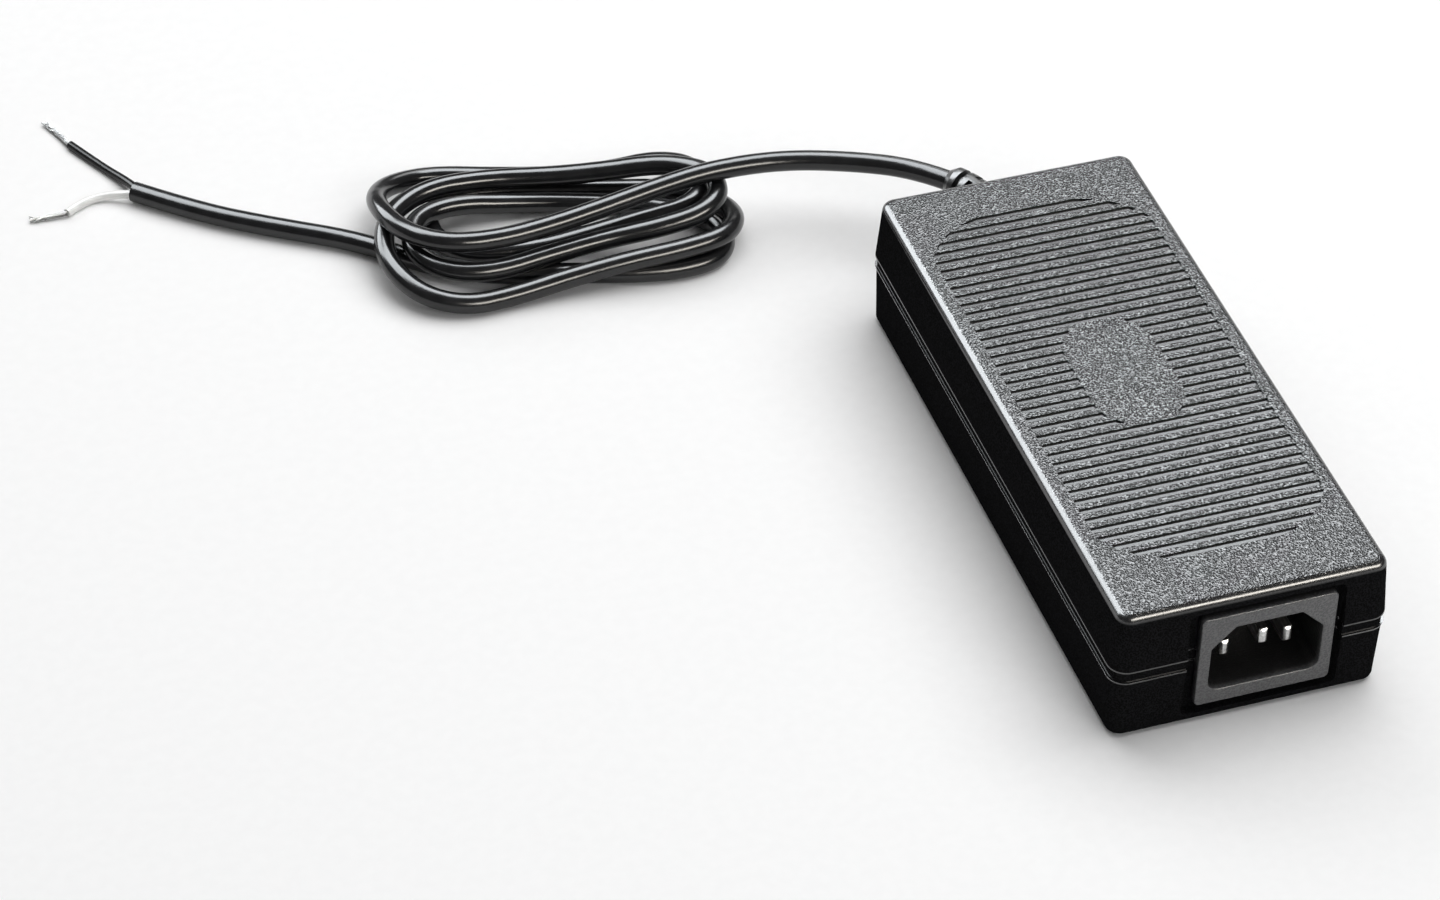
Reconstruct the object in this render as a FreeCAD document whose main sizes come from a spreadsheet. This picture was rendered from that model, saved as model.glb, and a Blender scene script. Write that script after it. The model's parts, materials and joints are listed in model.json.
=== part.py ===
import FreeCAD, Part
import math
import os

import Sketcher

# A desktop switching power supply: a grooved top shell and a bottom shell that meet at a
# shadow gap, a three-pin inlet in a recess at the near end, the circuit board with its parts
# inside, and a two-core output lead that leaves a slotted strain relief at the far end.
# X is the width, Y the length with the inlet at the low end, Z is up from the table.

doc = FreeCAD.newDocument("power_supply")
sheet = doc.addObject("Spreadsheet::Sheet", "sizes")

SIZES = {
    "Shells": {
        "case_length": 144.0,
        "case_width": 61.0,
        "case_height": 32.5,
        "corner_radius": 4.1,
        "wall": 2.6,
        "room_radius": 2.0,
        "top_draft": 4.6,
        "top_edge_radius": 2.0,
        "roof": 2.4,
        "bottom_draft": 2.0,
        "bottom_edge_radius": 1.2,
        "floor": 2.2,
    },
    "Seam": {
        "seam_top": 18.1,
        "seam_low": 15.5,
        "seam_depth": 0.55,
        "skirt_wall": 0.85,
        "tongue_gap": 0.1,
        "tongue_rise": 1.6,
        "lip_tall": 1.4,
        "lip_inset": 0.4,
        "lip_flare": 15.9,
    },
    "Top grooves": {
        "groove_count": 39,
        "groove_pitch": 2.99,
        "groove_width": 1.5,
        "groove_depth": 0.4,
        "groove_half_length": 25.4,
        "field_shift": 0.7,
        "field_half_width": 27.4,
        "field_half_length": 57.9,
        "field_radius": 19.8,
        "window_half_width": 10.0,
        "window_half_length": 17.0,
        "window_radius": 9.0,
    },
    "Feet and board bosses": {
        "foot_radius": 4.0,
        "foot_gap": 0.1,
        "foot_sunk": 0.7,
        "foot_stand": 0.6,
        "foot_bevel": 0.3,
        "foot_x": 22.0,
        "foot_end_gap": 11.0,
        "boss_radius": 2.8,
        "boss_tall": 1.8,
        "boss_x": 22.5,
        "boss_end_gap": 11.0,
    },
    "Inlet": {
        "inlet_x": 3.3,
        "inlet_z": 15.9,
        "surround_low_x": -14.4,
        "surround_high_x": 19.9,
        "surround_low_z": 2.0,
        "surround_high_z": 29.4,
        "surround_radius": 1.5,
        "surround_depth": 3.0,
        "panel_thick": 2.0,
        "panel_margin": 2.2,
        "flange_width": 29.8,
        "flange_tall": 23.6,
        "flange_radius": 1.2,
        "flange_set_back": 0.6,
        "housing_width": 27.4,
        "housing_tall": 19.4,
        "housing_depth": 19.5,
        "housing_gap": 0.1,
        "cavity_width": 24.5,
        "cavity_tall": 16.5,
        "cavity_depth": 16.5,
        "cavity_chamfer": 5.0,
        "cavity_radius": 2.5,
        "pin_thick": 2.0,
        "pin_tall": 4.0,
        "pin_spacing": 14.0,
        "pin_drop": 2.0,
        "pin_tip_depth": 4.6,
        "earth_lead": 2.9,
        "pin_tail": 5.0,
        "pin_bevel": 0.6,
    },
    "Strain relief": {
        "relief_z": 16.8,
        "relief_straight": 6.0,
        "relief_curve": 14.0,
        "relief_bend": 40.0,
        "relief_root_radius": 4.8,
        "relief_tip_radius": 3.9,
        "relief_nose": 1.6,
        "relief_nose_radius": 2.7,
        "relief_seat": 0.8,
        "slot_count": 5,
        "slot_first": 3.3,
        "slot_pitch": 3.2,
        "slot_width": 1.4,
        "slot_web": 1.8,
        "slot_core_radius": 2.6,
        "neck_side": 6.6,
        "relief_flange_side": 11.0,
        "relief_flange_thick": 2.0,
    },
    "Output lead": {
        "lead_diameter": 4.7,
        "core_diameter": 2.0,
        "core_offset": 1.15,
        "strand_diameter": 1.0,
        "coil_half_length": 44.0,
        "coil_half_width": 27.0,
        "coil_band": 17.0,
        "coil_x": -86.5,
        "coil_beyond": 47.5,
        "coil_turn": -8.0,
        "coil_tall_near": 18.6,
        "coil_tall_far": 11.6,
        "coil_rim_bevel": 3.0,
    },
    "Board": {
        "board_half_width": 25.0,
        "board_end_gap": 8.0,
        "board_thick": 1.6,
        "board_radius": 2.0,
        "screw_radius": 1.25,
        "screw_head_radius": 2.6,
        "screw_head_tall": 1.4,
        "screw_deep": 2.4,
        "wire_diameter": 1.8,
        "inlet_wire_room": 5.4,
        "output_wire_room": 10.0,
        "board_part_gap": 3.0,
        "sheet_half_width": 26.5,
        "sheet_end_gap": 7.0,
        "sheet_thick": 0.4,
        "sheet_gap": 0.4,
    },
}

# A part of the board is a row of its own: its place across the board, then its sizes. Its place
# along the board comes from its column, where all the gaps between neighbours are the same.
BOARD_PARTS = {
    "fuse": {"x": -19.0, "long": 8.5, "wide": 4.2, "tall": 8.0},
    "varistor": {"x": -12.0, "radius": 5.2, "thick": 4.0},
    "x_capacitor": {"x": 14.0, "long": 18.0, "wide": 9.0, "tall": 15.0},
    "line_choke": {"x": -13.0, "radius": 9.0, "bore": 4.6, "thick": 8.0, "wire": 1.1},
    "y_capacitor": {"x": 2.2, "radius": 4.0, "thick": 3.6, "pitch": 8.0},
    "bridge_rectifier": {"x": 17.0, "long": 15.0, "wide": 3.6, "tall": 12.0},
    "boost_choke": {"x": -10.4, "long": 16.0, "wide": 9.0, "tall": 16.0, "yoke": 2.8,
                    "leg": 5.6, "coil_wide": 17.0, "base": 1.6, "skin": 0.7},
    "bulk_capacitor": {"x": 15.5, "radius": 9.0, "long": 32.0},
    "primary_heatsink": {"x": -24.2, "long": 22.0, "thick": 1.6, "tall": 20.0},
    "power_transistor": {"wide": 10.0, "thick": 4.4, "tall": 15.0, "pitch": 11.0},
    "transformer": {"x": -6.4, "long": 24.0, "wide": 10.0, "tall": 18.5, "yoke": 3.6,
                    "leg": 8.0, "coil_wide": 20.0, "base": 1.8, "skin": 0.9},
    "control_chip": {"x": 17.5, "long": 9.6, "wide": 6.4, "tall": 3.4},
    "optocoupler": {"x": 17.5, "long": 4.6, "wide": 6.4, "tall": 3.4},
    "secondary_heatsink": {"x": -24.2, "long": 12.0, "thick": 1.6, "tall": 18.0},
    "output_rectifier": {"wide": 10.0, "thick": 4.4, "tall": 15.0},
    "output_capacitor": {"x": 14.0, "radius": 5.0, "tall": 20.0, "pitch": 12.0},
    "output_choke": {"x": -10.0, "radius": 6.0, "bore": 2.9, "thick": 6.0, "wire": 1.0},
}


class Cell:
    """A number, kept with the text that works it out from the sheet."""

    def __init__(self, number, text):
        self.number = float(number)
        self.text = text

    def joined(self, other, sign, number):
        """This cell and another one, joined by a sign."""
        return Cell(number, "(%s %s %s)" % (self.text, sign, as_cell(other).text))

    def __add__(self, other):
        return self.joined(other, "+", self.number + float(other))

    def __sub__(self, other):
        return self.joined(other, "-", self.number - float(other))

    def __mul__(self, other):
        return self.joined(other, "*", self.number * float(other))

    def __truediv__(self, other):
        return self.joined(other, "/", self.number / float(other))

    def __radd__(self, other):
        return as_cell(other) + self

    def __rsub__(self, other):
        return as_cell(other) - self

    def __rmul__(self, other):
        return as_cell(other) * self

    def __neg__(self):
        return as_cell(0) - self

    def __float__(self):
        return self.number


def as_cell(value):
    """A plain number as a cell."""
    return value if isinstance(value, Cell) else Cell(value, repr(float(value)))


class Sizes:
    """Every size of the sheet, by its alias."""


def fill_sheet():
    """Writes the sizes to the sheet, one alias a row, and returns them as cells."""
    rows = []
    for heading, group in SIZES.items():
        rows.append((heading, None, None))
        rows += [(alias.replace("_", " "), alias, number) for alias, number in group.items()]
    for name, group in BOARD_PARTS.items():
        rows.append((name.replace("_", " ").capitalize(), None, None))
        rows += [(key, "%s_%s" % (name, key), number) for key, number in group.items()]
    cells = Sizes()
    for row, (words, alias, number) in enumerate(rows, start=1):
        sheet.set("A%d" % row, words)
        if alias:
            sheet.set("B%d" % row, str(number))
            sheet.setAlias("B%d" % row, alias)
            setattr(cells, alias, Cell(number, "sizes.%s" % alias))
    doc.recompute()
    return cells


S = fill_sheet()
NODES = []


def bind(item, **sizes):
    """Binds an object's properties to the sheet."""
    for name, cell in sizes.items():
        item.setExpression(name, as_cell(cell).text)


def place(item, x, y, z, rotation=None):
    """Binds an object's place to the sheet, after its rotation is set."""
    if rotation:
        item.Placement = FreeCAD.Placement(FreeCAD.Vector(0, 0, 0), rotation)
    for axis, cell in zip("xyz", (x, y, z)):
        item.setExpression("Placement.Base.%s" % axis, as_cell(cell).text)


def node(item, name):
    """Keeps an object as a piece of the model, under the piece's own name."""
    item.Label = name
    NODES.append(item)
    return item


def box(name, x, y, z, long, wide, tall):
    """A block from its low corner and its sides along X, Y and Z."""
    item = doc.addObject("Part::Box", name)
    bind(item, Length=long, Width=wide, Height=tall)
    place(item, x, y, z)
    return item


ALONG_X = FreeCAD.Rotation(FreeCAD.Vector(0, 1, 0), 90)
ALONG_Y = FreeCAD.Rotation(FreeCAD.Vector(1, 0, 0), -90)


def cylinder(name, x, y, z, radius, tall, rotation=None):
    """A cylinder that stands on a point, or lies along its rotation."""
    item = doc.addObject("Part::Cylinder", name)
    bind(item, Radius=radius, Height=tall)
    place(item, x, y, z, rotation)
    return item


def fuse(name, *items):
    """One solid of several."""
    item = doc.addObject("Part::MultiFuse", name)
    item.Shapes = list(items)
    item.Refine = True
    return item


def common(name, first, second):
    """What two solids share."""
    item = doc.addObject("Part::Common", name)
    item.Base = first
    item.Tool = second
    return item


def cut(name, base, *tools):
    """A solid with others taken out of it, one after another."""
    for step, tool in enumerate(tools, start=1):
        item = doc.addObject("Part::Cut", name if step == len(tools) else "%s_%d" % (name, step))
        item.Base = base
        item.Tool = tool
        base = item
    return base


def origin_plane(body, role):
    """One of a body's own origin planes."""
    return next(plane for plane in body.Origin.OriginFeatures if plane.Role == role)


def rounded_loop(sketch, low_x, high_x, low_y, high_y, radius, inner=False):
    """A rectangle with round corners, its four sides and its radius bound to the sheet."""
    x0, x1, y0, y1, r = (float(cell) for cell in (low_x, high_x, low_y, high_y, radius))
    first = sketch.GeometryCount
    sides = [((x0 + r, y0), (x1 - r, y0)), ((x1, y0 + r), (x1, y1 - r)),
             ((x1 - r, y1), (x0 + r, y1)), ((x0, y1 - r), (x0, y0 + r))]
    centres = [(x1 - r, y0 + r, -90), (x1 - r, y1 - r, 0), (x0 + r, y1 - r, 90), (x0 + r, y0 + r, 180)]
    for (ax, ay), (bx, by) in sides:
        sketch.addGeometry(Part.LineSegment(FreeCAD.Vector(ax, ay, 0), FreeCAD.Vector(bx, by, 0)), False)
    for cx, cy, start in centres:
        circle = Part.Circle(FreeCAD.Vector(cx, cy, 0), FreeCAD.Vector(0, 0, 1), r)
        turn = (math.radians(start), math.radians(start + 90))
        sketch.addGeometry(Part.ArcOfCircle(circle, *turn), False)
    line = [first + k for k in range(4)]
    arc = [first + 4 + k for k in range(4)]
    for k in range(4):
        sketch.addConstraint(Sketcher.Constraint("Tangent", line[k], 2, arc[k], 1))
        sketch.addConstraint(Sketcher.Constraint("Tangent", arc[k], 2, line[(k + 1) % 4], 1))
    for k, kind in enumerate(("Horizontal", "Vertical", "Horizontal", "Vertical")):
        sketch.addConstraint(Sketcher.Constraint(kind, line[k]))
    for k in range(1, 4):
        sketch.addConstraint(Sketcher.Constraint("Equal", arc[0], arc[k]))
    bound = [("Radius", (arc[0],), radius), ("DistanceX", (-1, 1, line[1], 1), high_x),
             ("DistanceX", (line[3], 1, line[1], 1), high_x - low_x),
             ("DistanceY", (-1, 1, line[2], 1), high_y),
             ("DistanceY", (line[0], 1, line[2], 1), high_y - low_y)]
    for kind, where, cell in bound:
        number = sketch.addConstraint(Sketcher.Constraint(kind, *where, float(cell)))
        sketch.setExpression("Constraints[%d]" % number, as_cell(cell).text)


def new_sketch(body, role, level):
    """A sketch on one of the body's planes, moved along the plane's normal."""
    sketch = body.newObject("Sketcher::SketchObject", "%s_sketch" % body.Name)
    sketch.AttachmentSupport = [(origin_plane(body, role), "")]
    sketch.MapMode = "FlatFace"
    sketch.setExpression("AttachmentOffset.Base.z", as_cell(level).text)
    return sketch


def rounded_sketch(body, role, level, low_x, high_x, low_y, high_y, radius):
    """A sketch of one rectangle with round corners."""
    sketch = new_sketch(body, role, level)
    rounded_loop(sketch, low_x, high_x, low_y, high_y, radius)
    return sketch


def centred_sketch(body, level, inset, radius):
    """A sketch of the case's outline, drawn in by an inset, at a level above the table."""
    half_x = S.case_width / 2 - inset
    half_y = S.case_length / 2 - inset
    return rounded_sketch(body, "XY_Plane", level, -half_x, half_x, -half_y, half_y, radius)


def feature(body, kind, name, sketch, length, reverse=False, taper=None):
    """A pad or a pocket of a sketch."""
    item = body.newObject("PartDesign::%s" % kind, name)
    item.Profile = sketch
    item.Reversed = reverse
    bind(item, Length=length)
    if taper is not None:
        bind(item, TaperAngle=taper)
    sketch.Visibility = False
    return item


def edge_feature(body, kind, name, base, chosen, **sizes):
    """A fillet or chamfer on the edges of a feature that a test picks."""
    doc.recompute()
    edges = ["Edge%d" % (k + 1) for k, edge in enumerate(base.Shape.Edges) if chosen(edge.BoundBox)]
    item = body.newObject("PartDesign::%s" % kind, name)
    item.Base = (base, edges)
    bind(item, **sizes)
    return item


def at_level(level):
    """Tells the edges that lie flat at a level."""
    return lambda bounds: abs(bounds.ZMin - float(level)) < 1e-4 and abs(bounds.ZMax - float(level)) < 1e-4


def prism(name, role, level, low_x, high_x, low_y, high_y, radius, length, reverse=False):
    """A bar with a rounded rectangle as its section."""
    body = doc.addObject("PartDesign::Body", name)
    sketch = rounded_sketch(body, role, level, low_x, high_x, low_y, high_y, radius)
    feature(body, "Pad", "%s_pad" % name, sketch, length, reverse)
    return body


# Levels above the table and places along the case that several pieces share
base_level = S.foot_stand
seam_top = base_level + S.seam_top
seam_low = base_level + S.seam_low
roof_top = base_level + S.case_height
roof_under = roof_top - S.roof
floor_top = base_level + S.floor
board_low = floor_top + S.boss_tall
board_top = board_low + S.board_thick
front = -S.case_length / 2
back = S.case_length / 2
foot_y = back - S.foot_end_gap
boss_y = back - S.boss_end_gap
board_half_length = back - S.board_end_gap
sheet_half_length = back - S.sheet_end_gap
inlet_z = base_level + S.inlet_z
relief_z = base_level + S.relief_z
SLACK = 1.0


def inlet_cuts(name):
    """The recess round the inlet and the window behind it, to be cut from a shell."""
    recess = prism("%s_recess" % name, "XZ_Plane", -front - S.surround_depth, S.surround_low_x,
                   S.surround_high_x, base_level + S.surround_low_z, base_level + S.surround_high_z,
                   S.surround_radius, S.surround_depth + SLACK)
    half_x = S.housing_width / 2 + S.housing_gap
    half_z = S.housing_tall / 2 + S.housing_gap
    window = box("%s_window" % name, S.inlet_x - half_x, front, inlet_z - half_z, half_x * 2,
                 S.surround_depth + S.panel_thick + SLACK, half_z * 2)
    return recess, window


def relief_cut(name):
    """The square notch and the round seat that hold the strain relief in the far wall."""
    half = S.neck_side / 2
    notch = box("%s_notch" % name, -half, back - S.wall - SLACK, relief_z - half, S.neck_side,
                S.wall + SLACK * 2, S.neck_side)
    seat = cylinder("%s_seat" % name, 0, back - S.relief_seat, relief_z, S.relief_root_radius,
                    S.relief_seat + SLACK, ALONG_Y)
    return fuse("%s_relief_cut" % name, notch, seat)


def inlet_panel(name, low, high):
    """The inner wall that the inlet's flange rests on."""
    return box("%s_panel" % name, S.surround_low_x - S.panel_margin, front + S.wall, low,
               S.surround_high_x - S.surround_low_x + S.panel_margin * 2,
               S.surround_depth + S.panel_thick - S.wall, high - low)


def groove_tool():
    """Bars for the grooves of the top, ended by a round-cornered field and a plain window."""
    bars = []
    low = roof_top - S.groove_depth
    for k in range(int(float(S.groove_count))):
        row = k - (float(S.groove_count) - 1) / 2
        bars.append(box("groove_%02d" % k, -S.groove_half_length,
                        S.field_shift + row * S.groove_pitch - S.groove_width / 2, low,
                        S.groove_half_length * 2, S.groove_width, S.groove_depth + SLACK))
    field = prism("groove_field", "XY_Plane", low, -S.field_half_width, S.field_half_width,
                  S.field_shift - S.field_half_length, S.field_shift + S.field_half_length,
                  S.field_radius, S.groove_depth + SLACK)
    window = prism("plain_window", "XY_Plane", low - SLACK, -S.window_half_width, S.window_half_width,
                   S.field_shift - S.window_half_length, S.field_shift + S.window_half_length,
                   S.window_radius, S.groove_depth + SLACK * 3)
    return cut("grooves", common("grooves_in_field", fuse("groove_bars", *bars), field), window)


def top_case():
    """The upper shell: drafted walls, a skirt in the shadow gap, and the grooved roof."""
    body = doc.addObject("PartDesign::Body", "top_shell")
    walls = feature(body, "Pad", "top_walls", centred_sketch(body, seam_top, 0, S.corner_radius),
                    S.case_height - S.seam_top, taper=-S.top_draft)
    edge_feature(body, "Fillet", "top_edge", walls, at_level(roof_top), Radius=S.top_edge_radius)
    skirt = centred_sketch(body, seam_low, S.seam_depth, S.corner_radius - S.seam_depth)
    feature(body, "Pad", "skirt", skirt, S.seam_top - S.seam_low)
    room = centred_sketch(body, seam_low, S.wall, S.room_radius)
    feature(body, "Pocket", "top_room", room, roof_under - seam_low, reverse=True)
    inset = S.seam_depth + S.skirt_wall
    tongue_room = centred_sketch(body, seam_low, inset, S.corner_radius - inset)
    feature(body, "Pocket", "tongue_room", tongue_room, S.tongue_rise + S.tongue_gap, reverse=True)
    with_panel = fuse("top_with_panel", body, inlet_panel("top", seam_low, roof_under + S.roof / 2))
    tools = (*inlet_cuts("top"), relief_cut("top"), groove_tool())
    return node(cut("top_case_cuts", with_panel, *tools), "top_case")


def bottom_case():
    """The lower shell: a lip under the gap, a tongue inside it, bosses and foot sockets."""
    body = doc.addObject("PartDesign::Body", "bottom_shell")
    lip_low = seam_low - S.lip_tall
    walls = feature(body, "Pad", "bottom_walls",
                    centred_sketch(body, lip_low, S.lip_inset, S.corner_radius - S.lip_inset),
                    lip_low - base_level, reverse=True, taper=-S.bottom_draft)
    edge_feature(body, "Fillet", "bottom_edge", walls, at_level(base_level), Radius=S.bottom_edge_radius)
    lip = centred_sketch(body, lip_low, S.lip_inset, S.corner_radius - S.lip_inset)
    feature(body, "Pad", "lip", lip, S.lip_tall, taper=S.lip_flare)
    inset = S.seam_depth + S.skirt_wall + S.tongue_gap
    tongue = centred_sketch(body, seam_low, inset, S.corner_radius - inset)
    feature(body, "Pad", "tongue", tongue, S.tongue_rise)
    room = centred_sketch(body, floor_top, S.wall, S.room_radius)
    feature(body, "Pocket", "bottom_room", room, seam_low + S.tongue_rise - floor_top, reverse=True)
    bosses = [cylinder("boss_%d" % k, x * S.boss_x, y * boss_y, floor_top - SLACK, S.boss_radius,
                       S.boss_tall + SLACK)
              for k, (x, y) in enumerate(((-1, -1), (1, -1), (-1, 1), (1, 1)))]
    panel = inlet_panel("bottom", base_level + S.floor / 2, seam_low)
    solid = fuse("bottom_with_panel", body, panel, *bosses)
    sockets = [cylinder("socket_%d" % k, x * S.foot_x, y * foot_y, base_level - SLACK,
                        S.foot_radius + S.foot_gap, S.foot_sunk + SLACK)
               for k, (x, y) in enumerate(((-1, -1), (1, -1), (-1, 1), (1, 1)))]
    bores = [cylinder("bore_%d" % k, x * S.boss_x, y * boss_y, board_low - S.screw_deep,
                      S.screw_radius, S.screw_deep + SLACK)
             for k, (x, y) in enumerate(((-1, -1), (1, -1), (-1, 1), (1, 1)))]
    holes = fuse("bottom_holes", *sockets, *bores)
    tools = (*inlet_cuts("bottom"), relief_cut("bottom"), holes)
    return node(cut("bottom_case_cuts", solid, *tools), "bottom_case")


def rubber_feet():
    """Four bevelled pads, each in its socket under the bottom shell."""
    feet = []
    for k, (x, y) in enumerate(((-1, -1), (1, -1), (-1, 1), (1, 1))):
        cone = doc.addObject("Part::Cone", "foot_bevel_%d" % k)
        bind(cone, Radius1=S.foot_radius - S.foot_bevel, Radius2=S.foot_radius, Height=S.foot_bevel)
        place(cone, x * S.foot_x, y * foot_y, 0)
        pad = cylinder("foot_pad_%d" % k, x * S.foot_x, y * foot_y, S.foot_bevel, S.foot_radius,
                       S.foot_stand + S.foot_sunk - S.foot_bevel)
        feet.append(fuse("foot_%d" % k, cone, pad))
    group = doc.addObject("Part::Compound", "feet")
    group.Links = feet
    return node(group, "rubber_feet")


def inlet():
    """The inlet's moulding and its three flat pins."""
    flange_front = front + S.flange_set_back
    flange_back = front + S.surround_depth
    housing_back = flange_front + S.housing_depth
    half_x = S.flange_width / 2
    half_z = S.flange_tall / 2
    flange = prism("inlet_flange", "XZ_Plane", -flange_back, S.inlet_x - half_x, S.inlet_x + half_x,
                   inlet_z - half_z, inlet_z + half_z, S.flange_radius, flange_back - flange_front)
    housing = box("inlet_housing", S.inlet_x - S.housing_width / 2, flange_back - SLACK / 2,
                  inlet_z - S.housing_tall / 2, S.housing_width,
                  housing_back - flange_back + SLACK / 2, S.housing_tall)
    cavity = doc.addObject("PartDesign::Body", "inlet_cavity")
    half_x = S.cavity_width / 2
    half_z = S.cavity_tall / 2
    sketch = rounded_sketch(cavity, "XZ_Plane", -flange_front - S.cavity_depth, S.inlet_x - half_x,
                            S.inlet_x + half_x, inlet_z - half_z, inlet_z + half_z, S.cavity_radius)
    feature(cavity, "Pad", "cavity_pad", sketch, S.cavity_depth + SLACK)
    low_front = flange_front - SLACK
    wedges = []
    for side in (-1, 1):
        corner = box("cavity_corner_%s" % ("left" if side < 0 else "right"), 0, low_front, 0,
                     S.cavity_chamfer * math.sqrt(2), S.cavity_depth + SLACK * 2,
                     S.cavity_chamfer * math.sqrt(2))
        tilt = FreeCAD.Rotation(FreeCAD.Vector(0, 1, 0), 45)
        place(corner, S.inlet_x + side * half_x - S.cavity_chamfer, low_front,
              inlet_z + half_z, tilt)
        wedges.append(corner)
    pin_slots = [pin_blank("slot", *where) for where in pin_places()]
    cavity_open = cut("inlet_cavity_open", cavity, *wedges)
    body = cut("inlet_moulding", fuse("inlet_solid", flange, housing), cavity_open, *pin_slots)
    node(body, "inlet_body")
    for where in pin_places():
        pin(*where)


def pin_places():
    """Each pin's name, its place across and up the inlet, and how far its tip stands out."""
    half = S.pin_spacing / 2
    low = inlet_z - S.pin_drop
    high = inlet_z + S.pin_drop
    return (("line_pin", S.inlet_x - half, low, 0), ("earth_pin", S.inlet_x, high, S.earth_lead),
            ("neutral_pin", S.inlet_x + half, low, 0))


def pin_blank(kind, name, x, z, lead):
    """A flat bar as long as a pin."""
    tip = front + S.flange_set_back + S.pin_tip_depth - lead
    tail = front + S.flange_set_back + S.housing_depth + S.pin_tail
    return box("%s_%s" % (name, kind), x - S.pin_thick / 2, tip, z - S.pin_tall / 2,
               S.pin_thick, tail - tip, S.pin_tall)


def pin(name, x, z, lead):
    """One pin, with its tip bevelled all round."""
    tip = front + S.flange_set_back + S.pin_tip_depth - lead
    tail = front + S.flange_set_back + S.housing_depth + S.pin_tail
    bevel = doc.addObject("Part::Wedge", "%s_tip" % name)
    bind(bevel, Xmin=S.pin_bevel, Xmax=S.pin_thick - S.pin_bevel, Zmin=S.pin_bevel,
         Zmax=S.pin_tall - S.pin_bevel, Ymin=0, Ymax=S.pin_bevel, X2min=0, X2max=S.pin_thick,
         Z2min=0, Z2max=S.pin_tall)
    place(bevel, x - S.pin_thick / 2, tip, z - S.pin_tall / 2)
    bar = box("%s_bar" % name, x - S.pin_thick / 2, tip + S.pin_bevel, z - S.pin_tall / 2,
              S.pin_thick, tail - tip - S.pin_bevel, S.pin_tall)
    node(fuse("%s_blade" % name, bevel, bar), name)


def relief_place(along):
    """The point and heading of the strain relief's middle line, a way along it."""
    bend = math.radians(float(S.relief_bend))
    radius = float(S.relief_curve) / bend
    turn = max(0.0, along - float(S.relief_straight)) / radius
    point = FreeCAD.Vector(radius * (math.cos(turn) - 1),
                           float(back) + min(along, float(S.relief_straight)) + radius * math.sin(turn),
                           float(relief_z))
    return point, FreeCAD.Vector(-math.sin(turn), math.cos(turn), 0)


def relief_long():
    """The strain relief's length outside the case."""
    return float(S.relief_straight) + float(S.relief_curve)


def relief_ring(along, radius):
    """A round section of the strain relief."""
    point, heading = relief_place(along)
    return Part.Wire([Part.makeCircle(radius, point, heading)])


def relief_slot(along, upright):
    """The two slots at one station: a disc without its core and without the two webs."""
    point, heading = relief_place(along)
    wide = float(S.slot_width)
    reach = float(S.relief_root_radius) * 2
    start = point - heading * (wide / 2)
    disc = Part.makeCylinder(reach / 2, wide, start, heading)
    disc = disc.cut(Part.makeCylinder(float(S.slot_core_radius), wide, start, heading))
    web = float(S.slot_web)
    sides = (reach, web) if upright else (web, reach)
    bar = Part.makeBox(sides[0], wide, sides[1], FreeCAD.Vector(-sides[0] / 2, 0, -sides[1] / 2))
    turn = math.degrees(math.atan2(heading.y, heading.x)) - 90
    bar.Placement = FreeCAD.Placement(start, FreeCAD.Rotation(FreeCAD.Vector(0, 0, 1), turn))
    return disc.cut(bar)


def strain_relief():
    """The slotted sleeve that the lead leaves the case through, with its neck and flange."""
    long = relief_long()
    nose = long - float(S.relief_nose)
    root = float(S.relief_root_radius)
    tip = float(S.relief_tip_radius)
    sleeve = doc.addObject("Part::Feature", "relief_sleeve")
    steps = [nose * k / 8 for k in range(9)]
    rings = [relief_ring(along, root + (tip - root) * along / nose) for along in steps]
    shape = Part.makeLoft(rings, True)
    cap = Part.makeLoft([relief_ring(nose, tip), relief_ring(long, float(S.relief_nose_radius))], True)
    shape = shape.fuse(cap)
    for k in range(int(float(S.slot_count))):
        along = float(S.slot_first) + k * float(S.slot_pitch)
        shape = shape.cut(relief_slot(along, k % 2 == 0))
    sleeve.Shape = shape.removeSplitter()
    seat = cylinder("relief_seat_disc", 0, back - S.relief_seat, relief_z, S.relief_root_radius,
                    S.relief_seat, ALONG_Y)
    half = S.neck_side / 2
    neck = box("relief_neck", -half, back - S.wall - SLACK, relief_z - half, S.neck_side,
               S.wall - S.relief_seat + SLACK * 1.5, S.neck_side)
    half = S.relief_flange_side / 2
    flange = box("relief_flange", -half, back - S.wall - S.relief_flange_thick, relief_z - half,
                 S.relief_flange_side, S.relief_flange_thick, S.relief_flange_side)
    return node(fuse("relief", sleeve, seat, neck, flange), "strain_relief")


def corner_arc(before, corner, after):
    """The arc that rounds one corner of a route, as its two ends, its middle and its radius."""
    arriving = (corner - before).normalize()
    leaving = (after - corner).normalize()
    turn = arriving.getAngle(leaving)
    reach = 0.45 * min((corner - before).Length, (after - corner).Length)
    radius = reach / math.tan(turn / 2)
    inward = (leaving - arriving).normalize()
    middle = corner + inward * (radius / math.cos(turn / 2) - radius)
    return corner - arriving * reach, middle, corner + leaving * reach, radius


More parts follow.
